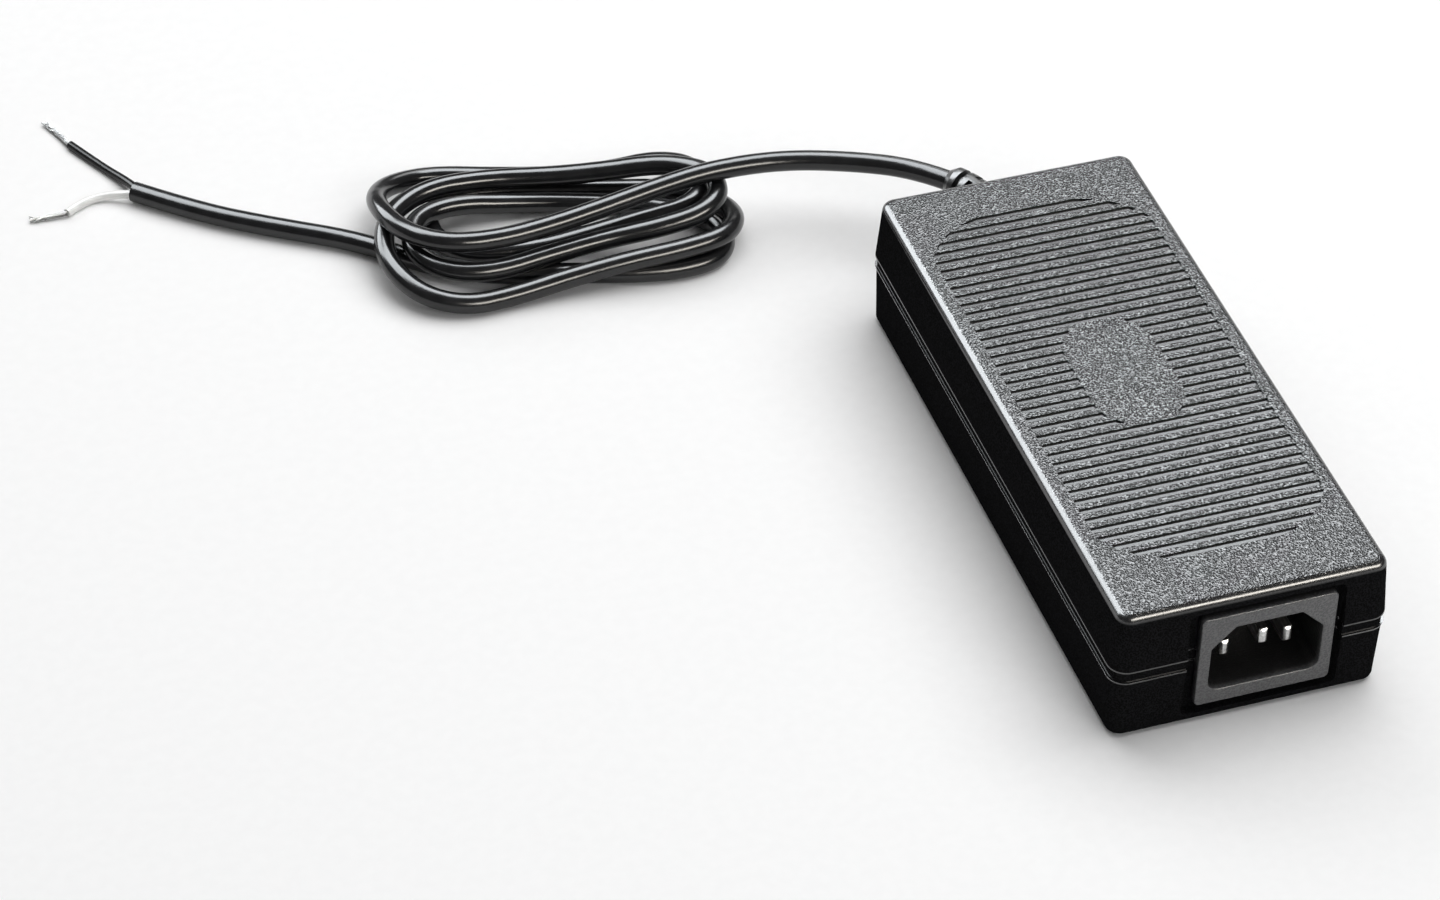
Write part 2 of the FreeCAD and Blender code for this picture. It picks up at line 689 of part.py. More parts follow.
def tube(name, points, diameter):
    """A round tube of straight runs joined by tangent arcs."""
    route = [FreeCAD.Vector(*point) for point in points]
    edges = []
    at = route[0]
    tightest = None
    for before, corner, after in zip(route, route[1:], route[2:]):
        start, middle, end, radius = corner_arc(before, corner, after)
        edges.append(Part.LineSegment(at, start).toShape())
        edges.append(Part.Arc(start, middle, end).toShape())
        tightest = min(tightest or radius, radius)
        at = end
    edges.append(Part.LineSegment(at, route[-1]).toShape())
    path = Part.Wire(edges)
    section = Part.Wire([Part.makeCircle(float(diameter) / 2, route[0], route[1] - route[0])])
    solid = path.makePipeShell([section], True, False)
    item = doc.addObject("Part::Feature", "%s_tube" % name)
    item.Shape = solid
    full = math.pi * float(diameter) ** 2 / 4 * path.Length
    print("%s: length %.1f, tightest radius %.1f, volume %.1f of %.1f"
          % (name, path.Length, tightest or 0, solid.Volume, full))
    return item


def trimmed_tube(name, points, diameter, *against):
    """A tube that ends flush on the pieces it meets."""
    return node(cut("%s_trimmed" % name, tube(name, points, diameter), *against), name)


def behind(points):
    """A route's points, moved along with the case's end wall."""
    shift = float(back) - DRAWN_BACK
    return [(x, y + shift, z) for x, y, z in points]


# The lead's routes, as they lie behind a case of this length; they move with its end wall.
DRAWN_BACK = 72.0
LEAD_ROUTE = ((-4.69, 90.89, 17.4), (-10.48, 97.78, 17.2), (-23.0, 104.9, 16.8), (-38.0, 110.6, 16.4),
              (-54.0, 111.8, 16.2))
TAIL_ROUTE = ((-117.0, 118.5, 2.35), (-133.0, 127.3, 2.35), (-150.0, 137.8, 2.35),
              (-165.0, 148.2, 2.35), (-177.3, 159.9, 2.35))
BLACK_ROUTE = ((-176.5, 160.7, 2.35), (-177.6, 164.3, 1.8), (-180.8, 170.8, 1.0), (-184.2, 177.2, 1.05),
               (-187.1, 183.0, 1.0))
WHITE_ROUTE = ((-178.1, 159.07, 2.35), (-181.4, 160.9, 1.7), (-185.4, 161.9, 1.0),
               (-189.2, 161.0, 1.05), (-193.4, 158.3, 1.0))
BLACK_STRANDS = ((-187.1, 183.0, 1.0), (-189.0, 189.1, 0.8), (-191.5, 194.5, 0.55))
WHITE_STRANDS = ((-193.4, 158.3, 1.0), (-198.3, 158.2, 0.8), (-202.9, 158.7, 0.55))


def oval_block(half_long, half_wide, tall):
    """An upright block with an oval outline about the origin."""
    outline = Part.Ellipse(FreeCAD.Vector(0, 0, 0), half_long, half_wide).toShape()
    return Part.Face(Part.Wire([outline])).extrude(FreeCAD.Vector(0, 0, tall))


def coil():
    """The wound part of the lead, as one solid of its outer shape with a sloping top."""
    long, wide, band = (float(cell) for cell in (S.coil_half_length, S.coil_half_width, S.coil_band))
    near, far = float(S.coil_tall_near), float(S.coil_tall_far)
    start, end, side, high = -long * 1.1, long * 1.1, -wide * 1.1, near * 3
    ring = oval_block(long, wide, near * 2).cut(oval_block(long - band, wide - band, near * 2))
    corners = [FreeCAD.Vector(start, side, far), FreeCAD.Vector(end, side, near),
               FreeCAD.Vector(end, side, high), FreeCAD.Vector(start, side, high)]
    above = Part.Face(Part.makePolygon(corners + corners[:1])).extrude(FreeCAD.Vector(0, -side * 2, 0))
    ring = ring.cut(above)
    ring = ring.makeChamfer(float(S.coil_rim_bevel), [edge for edge in ring.Edges if edge.isClosed()])
    ring.Placement = FreeCAD.Placement(FreeCAD.Vector(float(S.coil_x), float(back + S.coil_beyond), 0),
                                       FreeCAD.Rotation(FreeCAD.Vector(0, 0, 1), float(S.coil_turn)))
    item = doc.addObject("Part::Feature", "coil_ring")
    item.Shape = ring
    return item


def output_lead(relief):
    """The jacketed lead, its coil, and the two bared cores at its end."""
    ring = node(coil(), "output_coil")
    trimmed_tube("output_lead", behind(LEAD_ROUTE), S.lead_diameter, ring, relief)
    tail = trimmed_tube("output_tail", behind(TAIL_ROUTE), S.lead_diameter, ring)
    for colour, route, bare in (("black", BLACK_ROUTE, BLACK_STRANDS), ("white", WHITE_ROUTE, WHITE_STRANDS)):
        core = trimmed_tube("%s_core" % colour, behind(route), S.core_diameter, tail)
        trimmed_tube("%s_strands" % colour, behind(bare), S.strand_diameter, core)


def column(low, high, **lengths):
    """The middle of each part of a column, set between two ends with equal gaps."""
    gap = high - low
    for length in lengths.values():
        gap = gap - length
    gap = gap / (len(lengths) + 1)
    middles = {}
    at = low
    for name, length in lengths.items():
        middles[name] = at + gap + length / 2
        at = at + gap + length
    return middles


def board_places():
    """How far along the board each part stands: one column behind the live side, one beside it."""
    housing_back = front + S.flange_set_back + S.housing_depth
    rear = back - S.wall - S.relief_flange_thick - S.output_wire_room
    left = column(housing_back + S.board_part_gap, rear, fuse=S.fuse_wide, varistor=S.varistor_thick,
                  line_choke=(S.line_choke_radius + S.line_choke_wire) * 2,
                  boost_choke=S.boost_choke_coil_wide, transformer=S.transformer_coil_wide,
                  output_choke=(S.output_choke_radius + S.output_choke_wire) * 2)
    right = column(housing_back + S.pin_tail + S.inlet_wire_room, rear, x_capacitor=S.x_capacitor_wide,
                   bridge_rectifier=S.bridge_rectifier_wide, bulk_capacitor=S.bulk_capacitor_long,
                   control_chip=S.control_chip_wide, optocoupler=S.optocoupler_wide,
                   output_capacitor=S.output_capacitor_radius * 2)
    return {**left, **right, "y_capacitor": left["line_choke"], "primary_heatsink": left["transformer"],
            "secondary_heatsink": left["output_choke"]}


def board_box(name, x, y, long, wide, tall, low=None):
    """A block whose middle stands on a point of the board."""
    return box(name, x - long / 2, y - wide / 2, board_top if low is None else low, long, wide, tall)


def four_places(name, x, y, shape):
    """The same shape made at the four corners of a rectangle about the middle."""
    return [shape("%s_%d" % (name, k), sx * x, sy * y)
            for k, (sx, sy) in enumerate(((-1, -1), (1, -1), (-1, 1), (1, 1)))]


def board():
    """The circuit board, its screws, and the insulating sheet under it."""
    slab = prism("board_slab", "XY_Plane", board_low, -S.board_half_width, S.board_half_width,
                 -board_half_length, board_half_length, S.board_radius, S.board_thick)
    holes = four_places("board_hole", S.boss_x, boss_y, lambda name, x, y: cylinder(
        name, x, y, board_low - SLACK, S.screw_radius, S.board_thick + SLACK * 2))
    slab = node(cut("board_drilled", slab, fuse("board_holes", *holes)), "main_board")

    def screw(name, x, y):
        head = cylinder("%s_head" % name, x, y, board_top, S.screw_head_radius, S.screw_head_tall)
        low = board_low - S.screw_deep
        shank = cylinder("%s_shank" % name, x, y, low, S.screw_radius, board_top - low + SLACK / 2)
        return fuse(name, head, shank)

    group = doc.addObject("Part::Compound", "screws")
    group.Links = four_places("screw", S.boss_x, boss_y, screw)
    node(group, "board_screws")
    under = box("sheet_blank", -S.sheet_half_width, -sheet_half_length, floor_top,
                S.sheet_half_width * 2, sheet_half_length * 2, S.sheet_thick)
    holes = four_places("sheet_hole", S.boss_x, boss_y, lambda name, x, y: cylinder(
        name, x, y, floor_top - SLACK, S.boss_radius + S.sheet_gap, S.sheet_thick + SLACK * 2))
    node(cut("sheet_cut", under, fuse("sheet_holes", *holes)), "insulation_sheet")
    return slab


def blocks(along):
    """The board's plain boxed parts."""
    for name in ("fuse", "x_capacitor", "bridge_rectifier", "control_chip", "optocoupler"):
        x, long, wide, tall = (getattr(S, "%s_%s" % (name, key)) for key in ("x", "long", "wide", "tall"))
        node(board_box("%s_block" % name, x, along[name], long, wide, tall), name)


def upright_disc(name, x, y, radius, thick):
    """A disc that stands on the board on its edge."""
    return cylinder(name, x, y - thick / 2, board_top + radius, radius, thick, ALONG_Y)


def toroid(name, x, y, radius, bore, thick, wire):
    """A ring core lying on the board, and the two windings that wrap it."""
    middle = board_top + wire
    core = cut("%s_ring" % name, cylinder("%s_disc" % name, x, y, middle, radius, thick),
               cylinder("%s_bore" % name, x, y, middle - SLACK, bore, thick + SLACK * 2))
    node(core, "%s_core" % name)
    wrap = cylinder("%s_wrap" % name, x, y, board_top, radius + wire, thick + wire * 2)
    inside = cylinder("%s_inside" % name, x, y, board_top - SLACK, bore - wire,
                      thick + wire * 2 + SLACK * 2)
    split = board_box("%s_split" % name, x, y, radius * 3, radius * 0.6, thick * 3, board_top - SLACK)
    node(cut("%s_wound" % name, wrap, inside, core, split), "%s_windings" % name)


def wound_core(name, x, y, long, wide, tall, yoke, leg, coil_wide, base, skin):
    """A two-window core on a bobbin, with the winding round its middle leg."""
    low = board_top + base
    window_long = (long - yoke - leg) / 2
    window_tall = tall - yoke * 2
    frame = board_box("%s_frame" % name, x, y, long, wide, tall, low)
    windows = [box("%s_window_%d" % (name, k), start, y - wide, low + yoke, window_long, wide * 2,
                   window_tall)
               for k, start in enumerate((x - leg / 2 - window_long, x + leg / 2))]
    core = cut("%s_core_cut" % name, frame, *windows)
    node(core, "%s_core" % name)
    spool_long = leg + window_long * 2
    foot = board_box("%s_foot" % name, x, y, long, coil_wide, base)
    spool = board_box("%s_spool" % name, x, y, spool_long, coil_wide, window_tall, low + yoke)
    props = board_box("%s_props" % name, x, y, leg, coil_wide, yoke, low)
    groove_low = low + yoke + skin
    wound = board_box("%s_wound" % name, x, y, spool_long, coil_wide, window_tall - skin * 2, groove_low)
    inner = board_box("%s_inner" % name, x, y, leg + skin * 2, wide + skin * 2, window_tall * 2, low)
    winding = cut("%s_winding_cut" % name, wound, inner)
    bobbin = cut("%s_bobbin_cut" % name, fuse("%s_moulding" % name, foot, props, spool), core, winding)
    node(bobbin, "%s_bobbin" % name)
    node(winding, "%s_winding" % name)


def standing_heatsink(name, parts_name, sink, package, count):
    """A plate on the board's edge with flat-backed parts held to its inner face."""
    x, y, long, thick, tall = sink
    wide, deep, high = package[:3]
    node(board_box("%s_plate" % name, x, y, thick, long, tall), name)
    pitch = package[3] if count > 1 else as_cell(0)
    items = [board_box("%s_%d" % (parts_name, k), x + thick / 2 + deep / 2,
                       y + pitch * (k - (count - 1) / 2), deep, wide, high) for k in range(count)]
    if count == 1:
        return node(items[0], parts_name)
    group = doc.addObject("Part::Compound", "%s_pair" % parts_name)
    group.Links = items
    return node(group, parts_name)


def board_parts():
    """Every part that stands on the board."""
    along = board_places()
    blocks(along)
    node(upright_disc("varistor_disc", S.varistor_x, along["varistor"], S.varistor_radius,
                      S.varistor_thick), "varistor")
    pair = doc.addObject("Part::Compound", "y_pair")
    pair.Links = [upright_disc("y_disc_%d" % k, S.y_capacitor_x,
                               along["y_capacitor"] + S.y_capacitor_pitch * (k - 0.5),
                               S.y_capacitor_radius, S.y_capacitor_thick) for k in range(2)]
    node(pair, "y_capacitors")
    for make, names, keys in (
            (toroid, ("line_choke", "output_choke"), ("radius", "bore", "thick", "wire")),
            (wound_core, ("boost_choke", "transformer"),
             ("long", "wide", "tall", "yoke", "leg", "coil_wide", "base", "skin"))):
        for name in names:
            sizes = [getattr(S, "%s_%s" % (name, key)) for key in ("x", *keys)]
            make(name, sizes[0], along[name], *sizes[1:])
    node(cylinder("bulk_can", S.bulk_capacitor_x, along["bulk_capacitor"] - S.bulk_capacitor_long / 2,
                  board_top + S.bulk_capacitor_radius, S.bulk_capacitor_radius, S.bulk_capacitor_long,
                  ALONG_Y), "bulk_capacitor")
    pair = doc.addObject("Part::Compound", "output_cans")
    pair.Links = [cylinder("output_can_%d" % k, S.output_capacitor_x + S.output_capacitor_pitch * (k - 0.5),
                           along["output_capacitor"], board_top, S.output_capacitor_radius,
                           S.output_capacitor_tall) for k in range(2)]
    node(pair, "output_capacitors")
    for name, parts_name, package, count in (
            ("primary_heatsink", "power_transistors", "power_transistor", 2),
            ("secondary_heatsink", "output_rectifier", "output_rectifier", 1)):
        x, *sink = (getattr(S, "%s_%s" % (name, key)) for key in ("x", "long", "thick", "tall"))
        keys = ("wide", "thick", "tall", "pitch")[:3 if count == 1 else 4]
        standing_heatsink(name, parts_name, (x, along[name], *sink),
                          [getattr(S, "%s_%s" % (package, key)) for key in keys], count)


def inner_wires(slab, relief):
    """The wires from the inlet's pins to the board, and from the board to the strain relief."""
    tail = float(front + S.flange_set_back + S.housing_depth + S.pin_tail)
    top = float(board_top)
    pins = {item.Label: item for item in NODES}
    for name, x, z, _ in pin_places():
        x, z = float(x), float(z)
        route = ((x, tail, z), (x, tail + 3.4, z - 1.2), (x, tail + 4.2, top))
        trimmed_tube("inlet_%s" % name.replace("pin", "wire"), route, S.wire_diameter, slab, pins[name])
    inside = float(back - S.wall - S.relief_flange_thick)
    z = float(relief_z)
    for colour, side in (("black", 1), ("white", -1)):
        x = side * float(S.core_offset)
        route = ((x, inside, z), (x + side, inside - 3.5, z - 0.6), (x + side * 2, inside - 6, z - 5),
                 (x + side * 2.2, inside - 6.6, top))
        trimmed_tube("output_wire_%s" % colour, route, S.core_diameter, slab, relief)


top_case()
bottom_case()
rubber_feet()
inlet()
relief = strain_relief()
output_lead(relief)
slab = board()
board_parts()
inner_wires(slab, relief)
doc.recompute()

os.makedirs("parts", exist_ok=True)
for item in doc.Objects:
    if "Invalid" in item.State or "Error" in item.State:
        raise RuntimeError("%s failed: %s" % (item.Name, item.State))
for item in NODES:
    shape = item.Shape
    if shape.isNull() or not shape.isValid():
        raise RuntimeError("%s has no valid shape" % item.Label)
    shape.exportStep("parts/%s.step" % item.Label)
    print("%-22s %9.1f mm3  %s" % (item.Label, shape.Volume, len(shape.Solids)))
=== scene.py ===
"""Desktop power supply with a coiled output lead: finishes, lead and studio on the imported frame."""

import json
import logging
import math
import random
from dataclasses import dataclass, field
from enum import Enum

import bmesh
import bpy
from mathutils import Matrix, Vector


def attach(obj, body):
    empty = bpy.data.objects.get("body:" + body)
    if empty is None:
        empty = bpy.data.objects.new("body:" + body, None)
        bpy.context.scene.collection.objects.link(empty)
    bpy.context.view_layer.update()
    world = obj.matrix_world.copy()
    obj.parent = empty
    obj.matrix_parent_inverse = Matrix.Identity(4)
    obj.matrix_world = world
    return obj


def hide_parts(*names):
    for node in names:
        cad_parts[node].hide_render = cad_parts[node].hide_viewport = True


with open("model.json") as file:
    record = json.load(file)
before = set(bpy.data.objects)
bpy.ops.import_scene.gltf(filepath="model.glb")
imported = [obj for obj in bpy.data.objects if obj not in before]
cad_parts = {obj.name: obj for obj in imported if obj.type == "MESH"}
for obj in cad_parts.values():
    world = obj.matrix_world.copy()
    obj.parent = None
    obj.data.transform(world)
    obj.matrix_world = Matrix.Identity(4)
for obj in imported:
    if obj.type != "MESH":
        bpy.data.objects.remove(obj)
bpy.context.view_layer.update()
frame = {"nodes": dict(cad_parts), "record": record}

LOG = logging.getLogger("power_supply")

Point = tuple[float, float, float]
Colour = tuple[float, float, float]
Span = tuple[float, float]
Socket = bpy.types.NodeSocket
Level = Socket | float | tuple[float, ...]

# The part of a noise's values that is spread over a range of values, or over two colours.
NOISE_SPAN: Span = (0.3, 0.7)
TINT_SPAN: Span = (0.35, 0.65)
CELL_SMOOTHNESS = 0.35
# A wave texture of scale 1 repeats every pi / 10 metres.
WAVE_FACTOR = 10.0
BAND_BEND = 0.35
BRUSH_STRETCH = 0.06
LAMINATE_STRETCH = 0.25
BROAD_LUMPS = 24.0
COAT_ROUGHNESS = 0.12
# Painted shade inside the inlet's mouth: how far it takes to fade in, how strong it is, and its near-black
# colour.
MOUTH_REACH = 0.0015
MOUTH_PAINTED_SHADE = 0.9
MOUTH_PAINTED_SHADE_COLOUR = (0.003, 0.003, 0.003, 1.0)
# How moulded edges are rounded and shaded.
EDGE_STEPS = 2
SHADING_WEIGHT = 90
# The lead, and the height of its centre line where it lies on the floor.
LEAD_DIAMETER = 0.0047
LYING = LEAD_DIAMETER / 2


class Grain(Enum):
    """How a surface was made, which decides the pattern that its material shows."""

    SPARK_ERODED = "spark_eroded"
    MOULDED = "moulded"
    EXTRUDED = "extruded"
    BRUSHED = "brushed"
    WOUND = "wound"
    WRAPPED = "wrapped"
    DIPPED = "dipped"
    LAMINATED = "laminated"


@dataclass(frozen=True)
class HeightRule:
    """A value that changes with the height above the floor, such as a gloss that differs on the walls."""

    start: float
    steps: tuple[tuple[float, float, float], ...]


class Mix(Enum):
    """What a mix node mixes, with the places of its two inputs and of its output."""

    VALUES = ("FLOAT", 2, 3, 0)
    COLOURS = ("RGBA", 6, 7, 2)


class Bench:
    """A small workbench for one material's nodes."""

    def __init__(self, name: str) -> None:
        """Start an empty node material.

        Args:
            name: the material's name.
        """
        self.material = bpy.data.materials.new(name)
        self.material.use_nodes = True
        self.tree = self.material.node_tree
        self.tree.nodes.clear()
        self.output = self.tree.nodes.new("ShaderNodeOutputMaterial")
        self.where = self.tree.nodes.new("ShaderNodeTexCoord").outputs["Object"]

    def node(self, kind: str, **settings: object) -> bpy.types.Node:
        """Add one node and set its properties.

        Args:
            kind: the node's type name.
            settings: properties of the node by name.

        Returns:
            The new node.
        """
        made = self.tree.nodes.new(kind)
        for key, value in settings.items():
            setattr(made, key, value)
        return made

    def link(self, source: Socket, target: Socket) -> None:
        """Join two sockets."""
        self.tree.links.new(source, target)

    def along(self, axis: str) -> Socket:
        """Give the object's own coordinate along one axis.

        Args:
            axis: X, Y or Z.

        Returns:
            The socket with the coordinate in metres.
        """
        apart = self.node("ShaderNodeSeparateXYZ")
        self.link(self.where, apart.inputs["Vector"])
        return apart.outputs[axis]

    def stretched(self, stretch: Point) -> Socket:
        """Give object coordinates scaled along each axis.

        Args:
            stretch: the factor along x, y and z.

        Returns:
            The socket with the scaled coordinates.
        """
        mapping = self.node("ShaderNodeMapping")
        mapping.inputs["Scale"].default_value = stretch
        self.link(self.where, mapping.inputs["Vector"])
        return mapping.outputs["Vector"]

    def noise(self, size: float, detail: float = 2.0, where: Socket | None = None) -> Socket:
        """Add soft noise with lumps of one size.

        Args:
            size: the width of a lump in metres.
            detail: how many finer layers it holds.
            where: coordinates to use in place of the object's own.

        Returns:
            The socket with the noise, about 0.5 on average.
        """
        made = self.node("ShaderNodeTexNoise")
        made.inputs["Scale"].default_value = 1.0 / size
        made.inputs["Detail"].default_value = detail
        self.link(where or self.where, made.inputs["Vector"])
        return made.outputs["Fac"]

    def bands(self, size: float, axis: str, bend: float) -> Socket:
        """Add regular bands across one axis, such as turns of wire or tape.

        Args:
            size: the width of one band in metres.
            axis: X, Y or Z.
            bend: how far the bands wander.

        Returns:
            The socket with the bands, 0 to 1.
        """
        made = self.node("ShaderNodeTexWave", wave_type="BANDS", bands_direction=axis, wave_profile="SIN")
        made.inputs["Scale"].default_value = math.pi / (WAVE_FACTOR * size)
        made.inputs["Distortion"].default_value = bend
        made.inputs["Detail"].default_value = 1.0
        self.link(self.where, made.inputs["Vector"])
        return made.outputs["Fac"]

    def cells(self, size: float) -> Socket:
        """Add rounded cells of one size, the craters that spark erosion leaves.

        Args:
            size: the width of a cell in metres.

        Returns:
            The socket with the cells, about 0.5 on average.
        """
        made = self.node("ShaderNodeTexVoronoi", feature="SMOOTH_F1")
        made.inputs["Scale"].default_value = 1.0 / size
        made.inputs["Smoothness"].default_value = CELL_SMOOTHNESS
        self.link(self.where, made.inputs["Vector"])
        return made.outputs["Distance"]

    def ramped(self, value: Socket, span: Span, low: float, high: float) -> Socket:
        """Spread a value over a range, which holds its end values beyond the span.

        Args:
            value: the value.
            span: where the spread begins and ends.
            low: the result at its beginning.
            high: the result at its end.

        Returns:
            The socket with the result.
        """
        made = self.node("ShaderNodeMapRange")
        for key, level in zip(("From Min", "From Max", "To Min", "To Max"), (*span, low, high)):
            made.inputs[key].default_value = level
        self.link(value, made.inputs["Value"])
        return made.outputs["Result"]

    def between(self, factor: Socket, low: float, high: float) -> Socket:
        """Spread a noise over a range of values."""
        return self.ramped(factor, NOISE_SPAN, low, high)

    def tinted(self, factor: Socket, first: Colour, second: Colour) -> Socket:
        """Spread a noise over two colours.

        Args:
            factor: the noise.
            first: the colour where it is low.
            second: the colour where it is high.

        Returns:
            The socket with the colour.
        """
        ramp = self.node("ShaderNodeValToRGB")
        for element, position, colour in zip(ramp.color_ramp.elements, TINT_SPAN, (first, second)):
            element.position = position
            element.color = (*colour, 1.0)
        self.link(factor, ramp.inputs["Fac"])
        return ramp.outputs["Color"]

    def sum_or_product(self, operation: str, first: Socket, second: Socket) -> Socket:
        """Join two values by ADD or MULTIPLY.

        Args:
            operation: ADD or MULTIPLY.
            first: one value.
            second: the other value.

        Returns:
            The socket with the result.
        """
        made = self.node("ShaderNodeMath", operation=operation)
        self.link(first, made.inputs[0])
        self.link(second, made.inputs[1])
        return made.outputs[0]

    def mixed(self, kind: Mix, factor: Socket, first: Level, second: Level) -> Socket:
        """Mix two values or two colours.

        Args:
            kind: what is mixed.
            factor: how much of the second shows, 0 to 1.
            first: the first, as a socket or as a plain value.
            second: the second, in the same way.

        Returns:
            The socket with the mix.
        """
        data_type, first_place, second_place, result = kind.value
        made = self.node("ShaderNodeMix", data_type=data_type)
        self.link(factor, made.inputs[0])
        for level, place in ((first, first_place), (second, second_place)):
            if isinstance(level, Socket):
                self.link(level, made.inputs[place])
            else:
                made.inputs[place].default_value = level
        return made.outputs[result]

    def by_height(self, rule: HeightRule) -> Socket:
        """Give a value that changes with the height above the floor.

        Args:
            rule: the value at the floor and each change above it.

        Returns:
            The socket with the value.
        """
        height = self.along("Z")
        total = self.node("ShaderNodeValue").outputs[0]
        total.default_value = rule.start
        before = rule.start
        for begin, end, after in rule.steps:
            change = self.ramped(height, (begin, end), 0.0, after - before)
            total = self.sum_or_product("ADD", total, change)
            before = after
        return total

    def faded(self, value: Socket, level: Socket) -> Socket:
        """Fade a value towards 1 where a level between 0 and 1 is low."""
        return self.mixed(Mix.VALUES, level, 1.0, value)

    def within_field(self, half: Span, inside: float, outside: Socket) -> Socket:
        """Give one value above a field round the middle of the case, and another beside it.

        Args:
            half: half the field's size across and along the case, in metres.
            inside: the value in the field.
            outside: the value beside it.

        Returns:
            The socket with the value.
        """
        held = []
        for axis, limit in zip("XY", half):
            size = self.node("ShaderNodeMath", operation="ABSOLUTE")
            self.link(self.along(axis), size.inputs[0])
            test = self.node("ShaderNodeMath", operation="LESS_THAN")
            test.inputs[1].default_value = limit
            self.link(size.outputs[0], test.inputs[0])
            held.append(test.outputs[0])
        return self.mixed(Mix.VALUES, self.sum_or_product("MULTIPLY", *held), outside, inside)

    def painted_shade_behind(self, colour: Socket, mouth: float) -> Socket:
        """Paint shade into a colour behind the y of a mouth, where the mould is smooth and no light falls."""
        # Painted shade: the colour fades to near black behind the mouth.
        shade = self.ramped(self.along("Y"), (mouth, mouth + MOUTH_REACH), 0.0, MOUTH_PAINTED_SHADE)
        return self.mixed(Mix.COLOURS, shade, colour, MOUTH_PAINTED_SHADE_COLOUR)

    def raised(self, height: Socket, depth: float) -> Socket:
        """Turn a height into a bump.

        Args:
            height: the socket with the height, 0 to 1.
            depth: how high 1 stands, in metres.

        Returns:
            The socket with the bumped normal.
        """
        bump = self.node("ShaderNodeBump")
        bump.inputs["Strength"].default_value = 1.0
        bump.inputs["Distance"].default_value = depth
        self.link(height, bump.inputs["Height"])
        return bump.outputs["Normal"]


# How many finer layers the noise of each way of making holds.
GRAIN_DETAIL = {
    Grain.BRUSHED: 3.0, Grain.LAMINATED: 4.0, Grain.MOULDED: 2.0, Grain.EXTRUDED: 1.0, Grain.DIPPED: 1.0}


@dataclass(frozen=True)
class Finish:
    """One surface finish, from which its node material is made."""

    slot: str
    grain: Grain
    dark: Colour
    light: Colour
    lump: float
    depth: float
    rough: tuple[float, float]
    gloss: float = 0.5
    metal: float = 0.0
    coat: float = 0.0
    axis: str = "Z"
    clear: float = 0.0
    # The y behind which the colour is darkened as painted shade, or None.
    mouth: float | None = None
    grain_by_height: HeightRule | None = None
    gloss_by_height: HeightRule | None = None
    glossy_field: Span = (0.0, 0.0)
    sparkle: float = 0.0

    def height(self, bench: Bench) -> Socket:
        """Lay the pattern that the way of making leaves.

        Args:
            bench: the material's bench.

        Returns:
            The socket with the pattern's height.
        """
        if self.grain in (Grain.WOUND, Grain.WRAPPED):
            return bench.bands(self.lump, self.axis, BAND_BEND)
        if self.grain is Grain.SPARK_ERODED:
            return bench.cells(self.lump)
        where = None
        if self.grain is Grain.BRUSHED:
            where = bench.stretched(tuple(BRUSH_STRETCH if axis == self.axis else 1.0 for axis in "XYZ"))
        if self.grain is Grain.LAMINATED:
            where = bench.stretched((1.0, LAMINATE_STRETCH, 1.0))
        return bench.noise(self.lump, GRAIN_DETAIL[self.grain], where)

    def build(self) -> bpy.types.Material:
        """Make the node material.

        Returns:
            The material, named after its slot.
        """
        bench = Bench(self.slot)
        shader = bench.node("ShaderNodeBsdfPrincipled")
        pattern = self.height(bench)
        colour = bench.tinted(pattern, self.dark, self.light)
        shine = bench.between(pattern, 1.0 - self.sparkle, 1.0 + self.sparkle)
        if self.grain_by_height is not None:
            level = bench.by_height(self.grain_by_height)
            pattern = bench.sum_or_product("MULTIPLY", pattern, level)
            shine = bench.faded(shine, level)
        normal = bench.raised(pattern, self.depth)
        broad = bench.noise(self.lump * BROAD_LUMPS)
        # Painted shade inside the inlet's mouth, mixed into the base colour.
        if self.mouth is not None:
            colour = bench.painted_shade_behind(colour, self.mouth)
        bench.link(colour, shader.inputs["Base Color"])
        bench.link(bench.between(broad, *self.rough), shader.inputs["Roughness"])
        bench.link(normal, shader.inputs["Normal"])
        shader.inputs["Metallic"].default_value = self.metal
        shader.inputs["Specular IOR Level"].default_value = self.gloss
        if self.gloss_by_height is not None:
            beside = bench.by_height(self.gloss_by_height)
            gloss = bench.within_field(self.glossy_field, self.gloss, beside)
            bench.link(bench.sum_or_product("MULTIPLY", gloss, shine), shader.inputs["Specular IOR Level"])
        shader.inputs["Coat Weight"].default_value = self.coat
        shader.inputs["Coat Roughness"].default_value = COAT_ROUGHNESS
        shader.inputs["Alpha"].default_value = 1.0 - self.clear
        bench.link(shader.outputs["BSDF"], bench.output.inputs["Surface"])
        return bench.material


# Only the top land shows the full grain.
SHELL_GRAIN = HeightRule(0.06, ((0.03285, 0.03302, 1.0),))

# From the floor up: the bright line on each side of the shadow gap, the edge fillet and the top land.
SHELL_GLOSS = HeightRule(0.0, (
    (0.0156, 0.0157, 1.0), (0.0162, 0.0163, 0.0),
    (0.0185, 0.0186, 1.0), (0.0190, 0.0191, 0.0),
    (0.0312, 0.0318, 0.90), (0.03295, 0.03307, 0.40)))

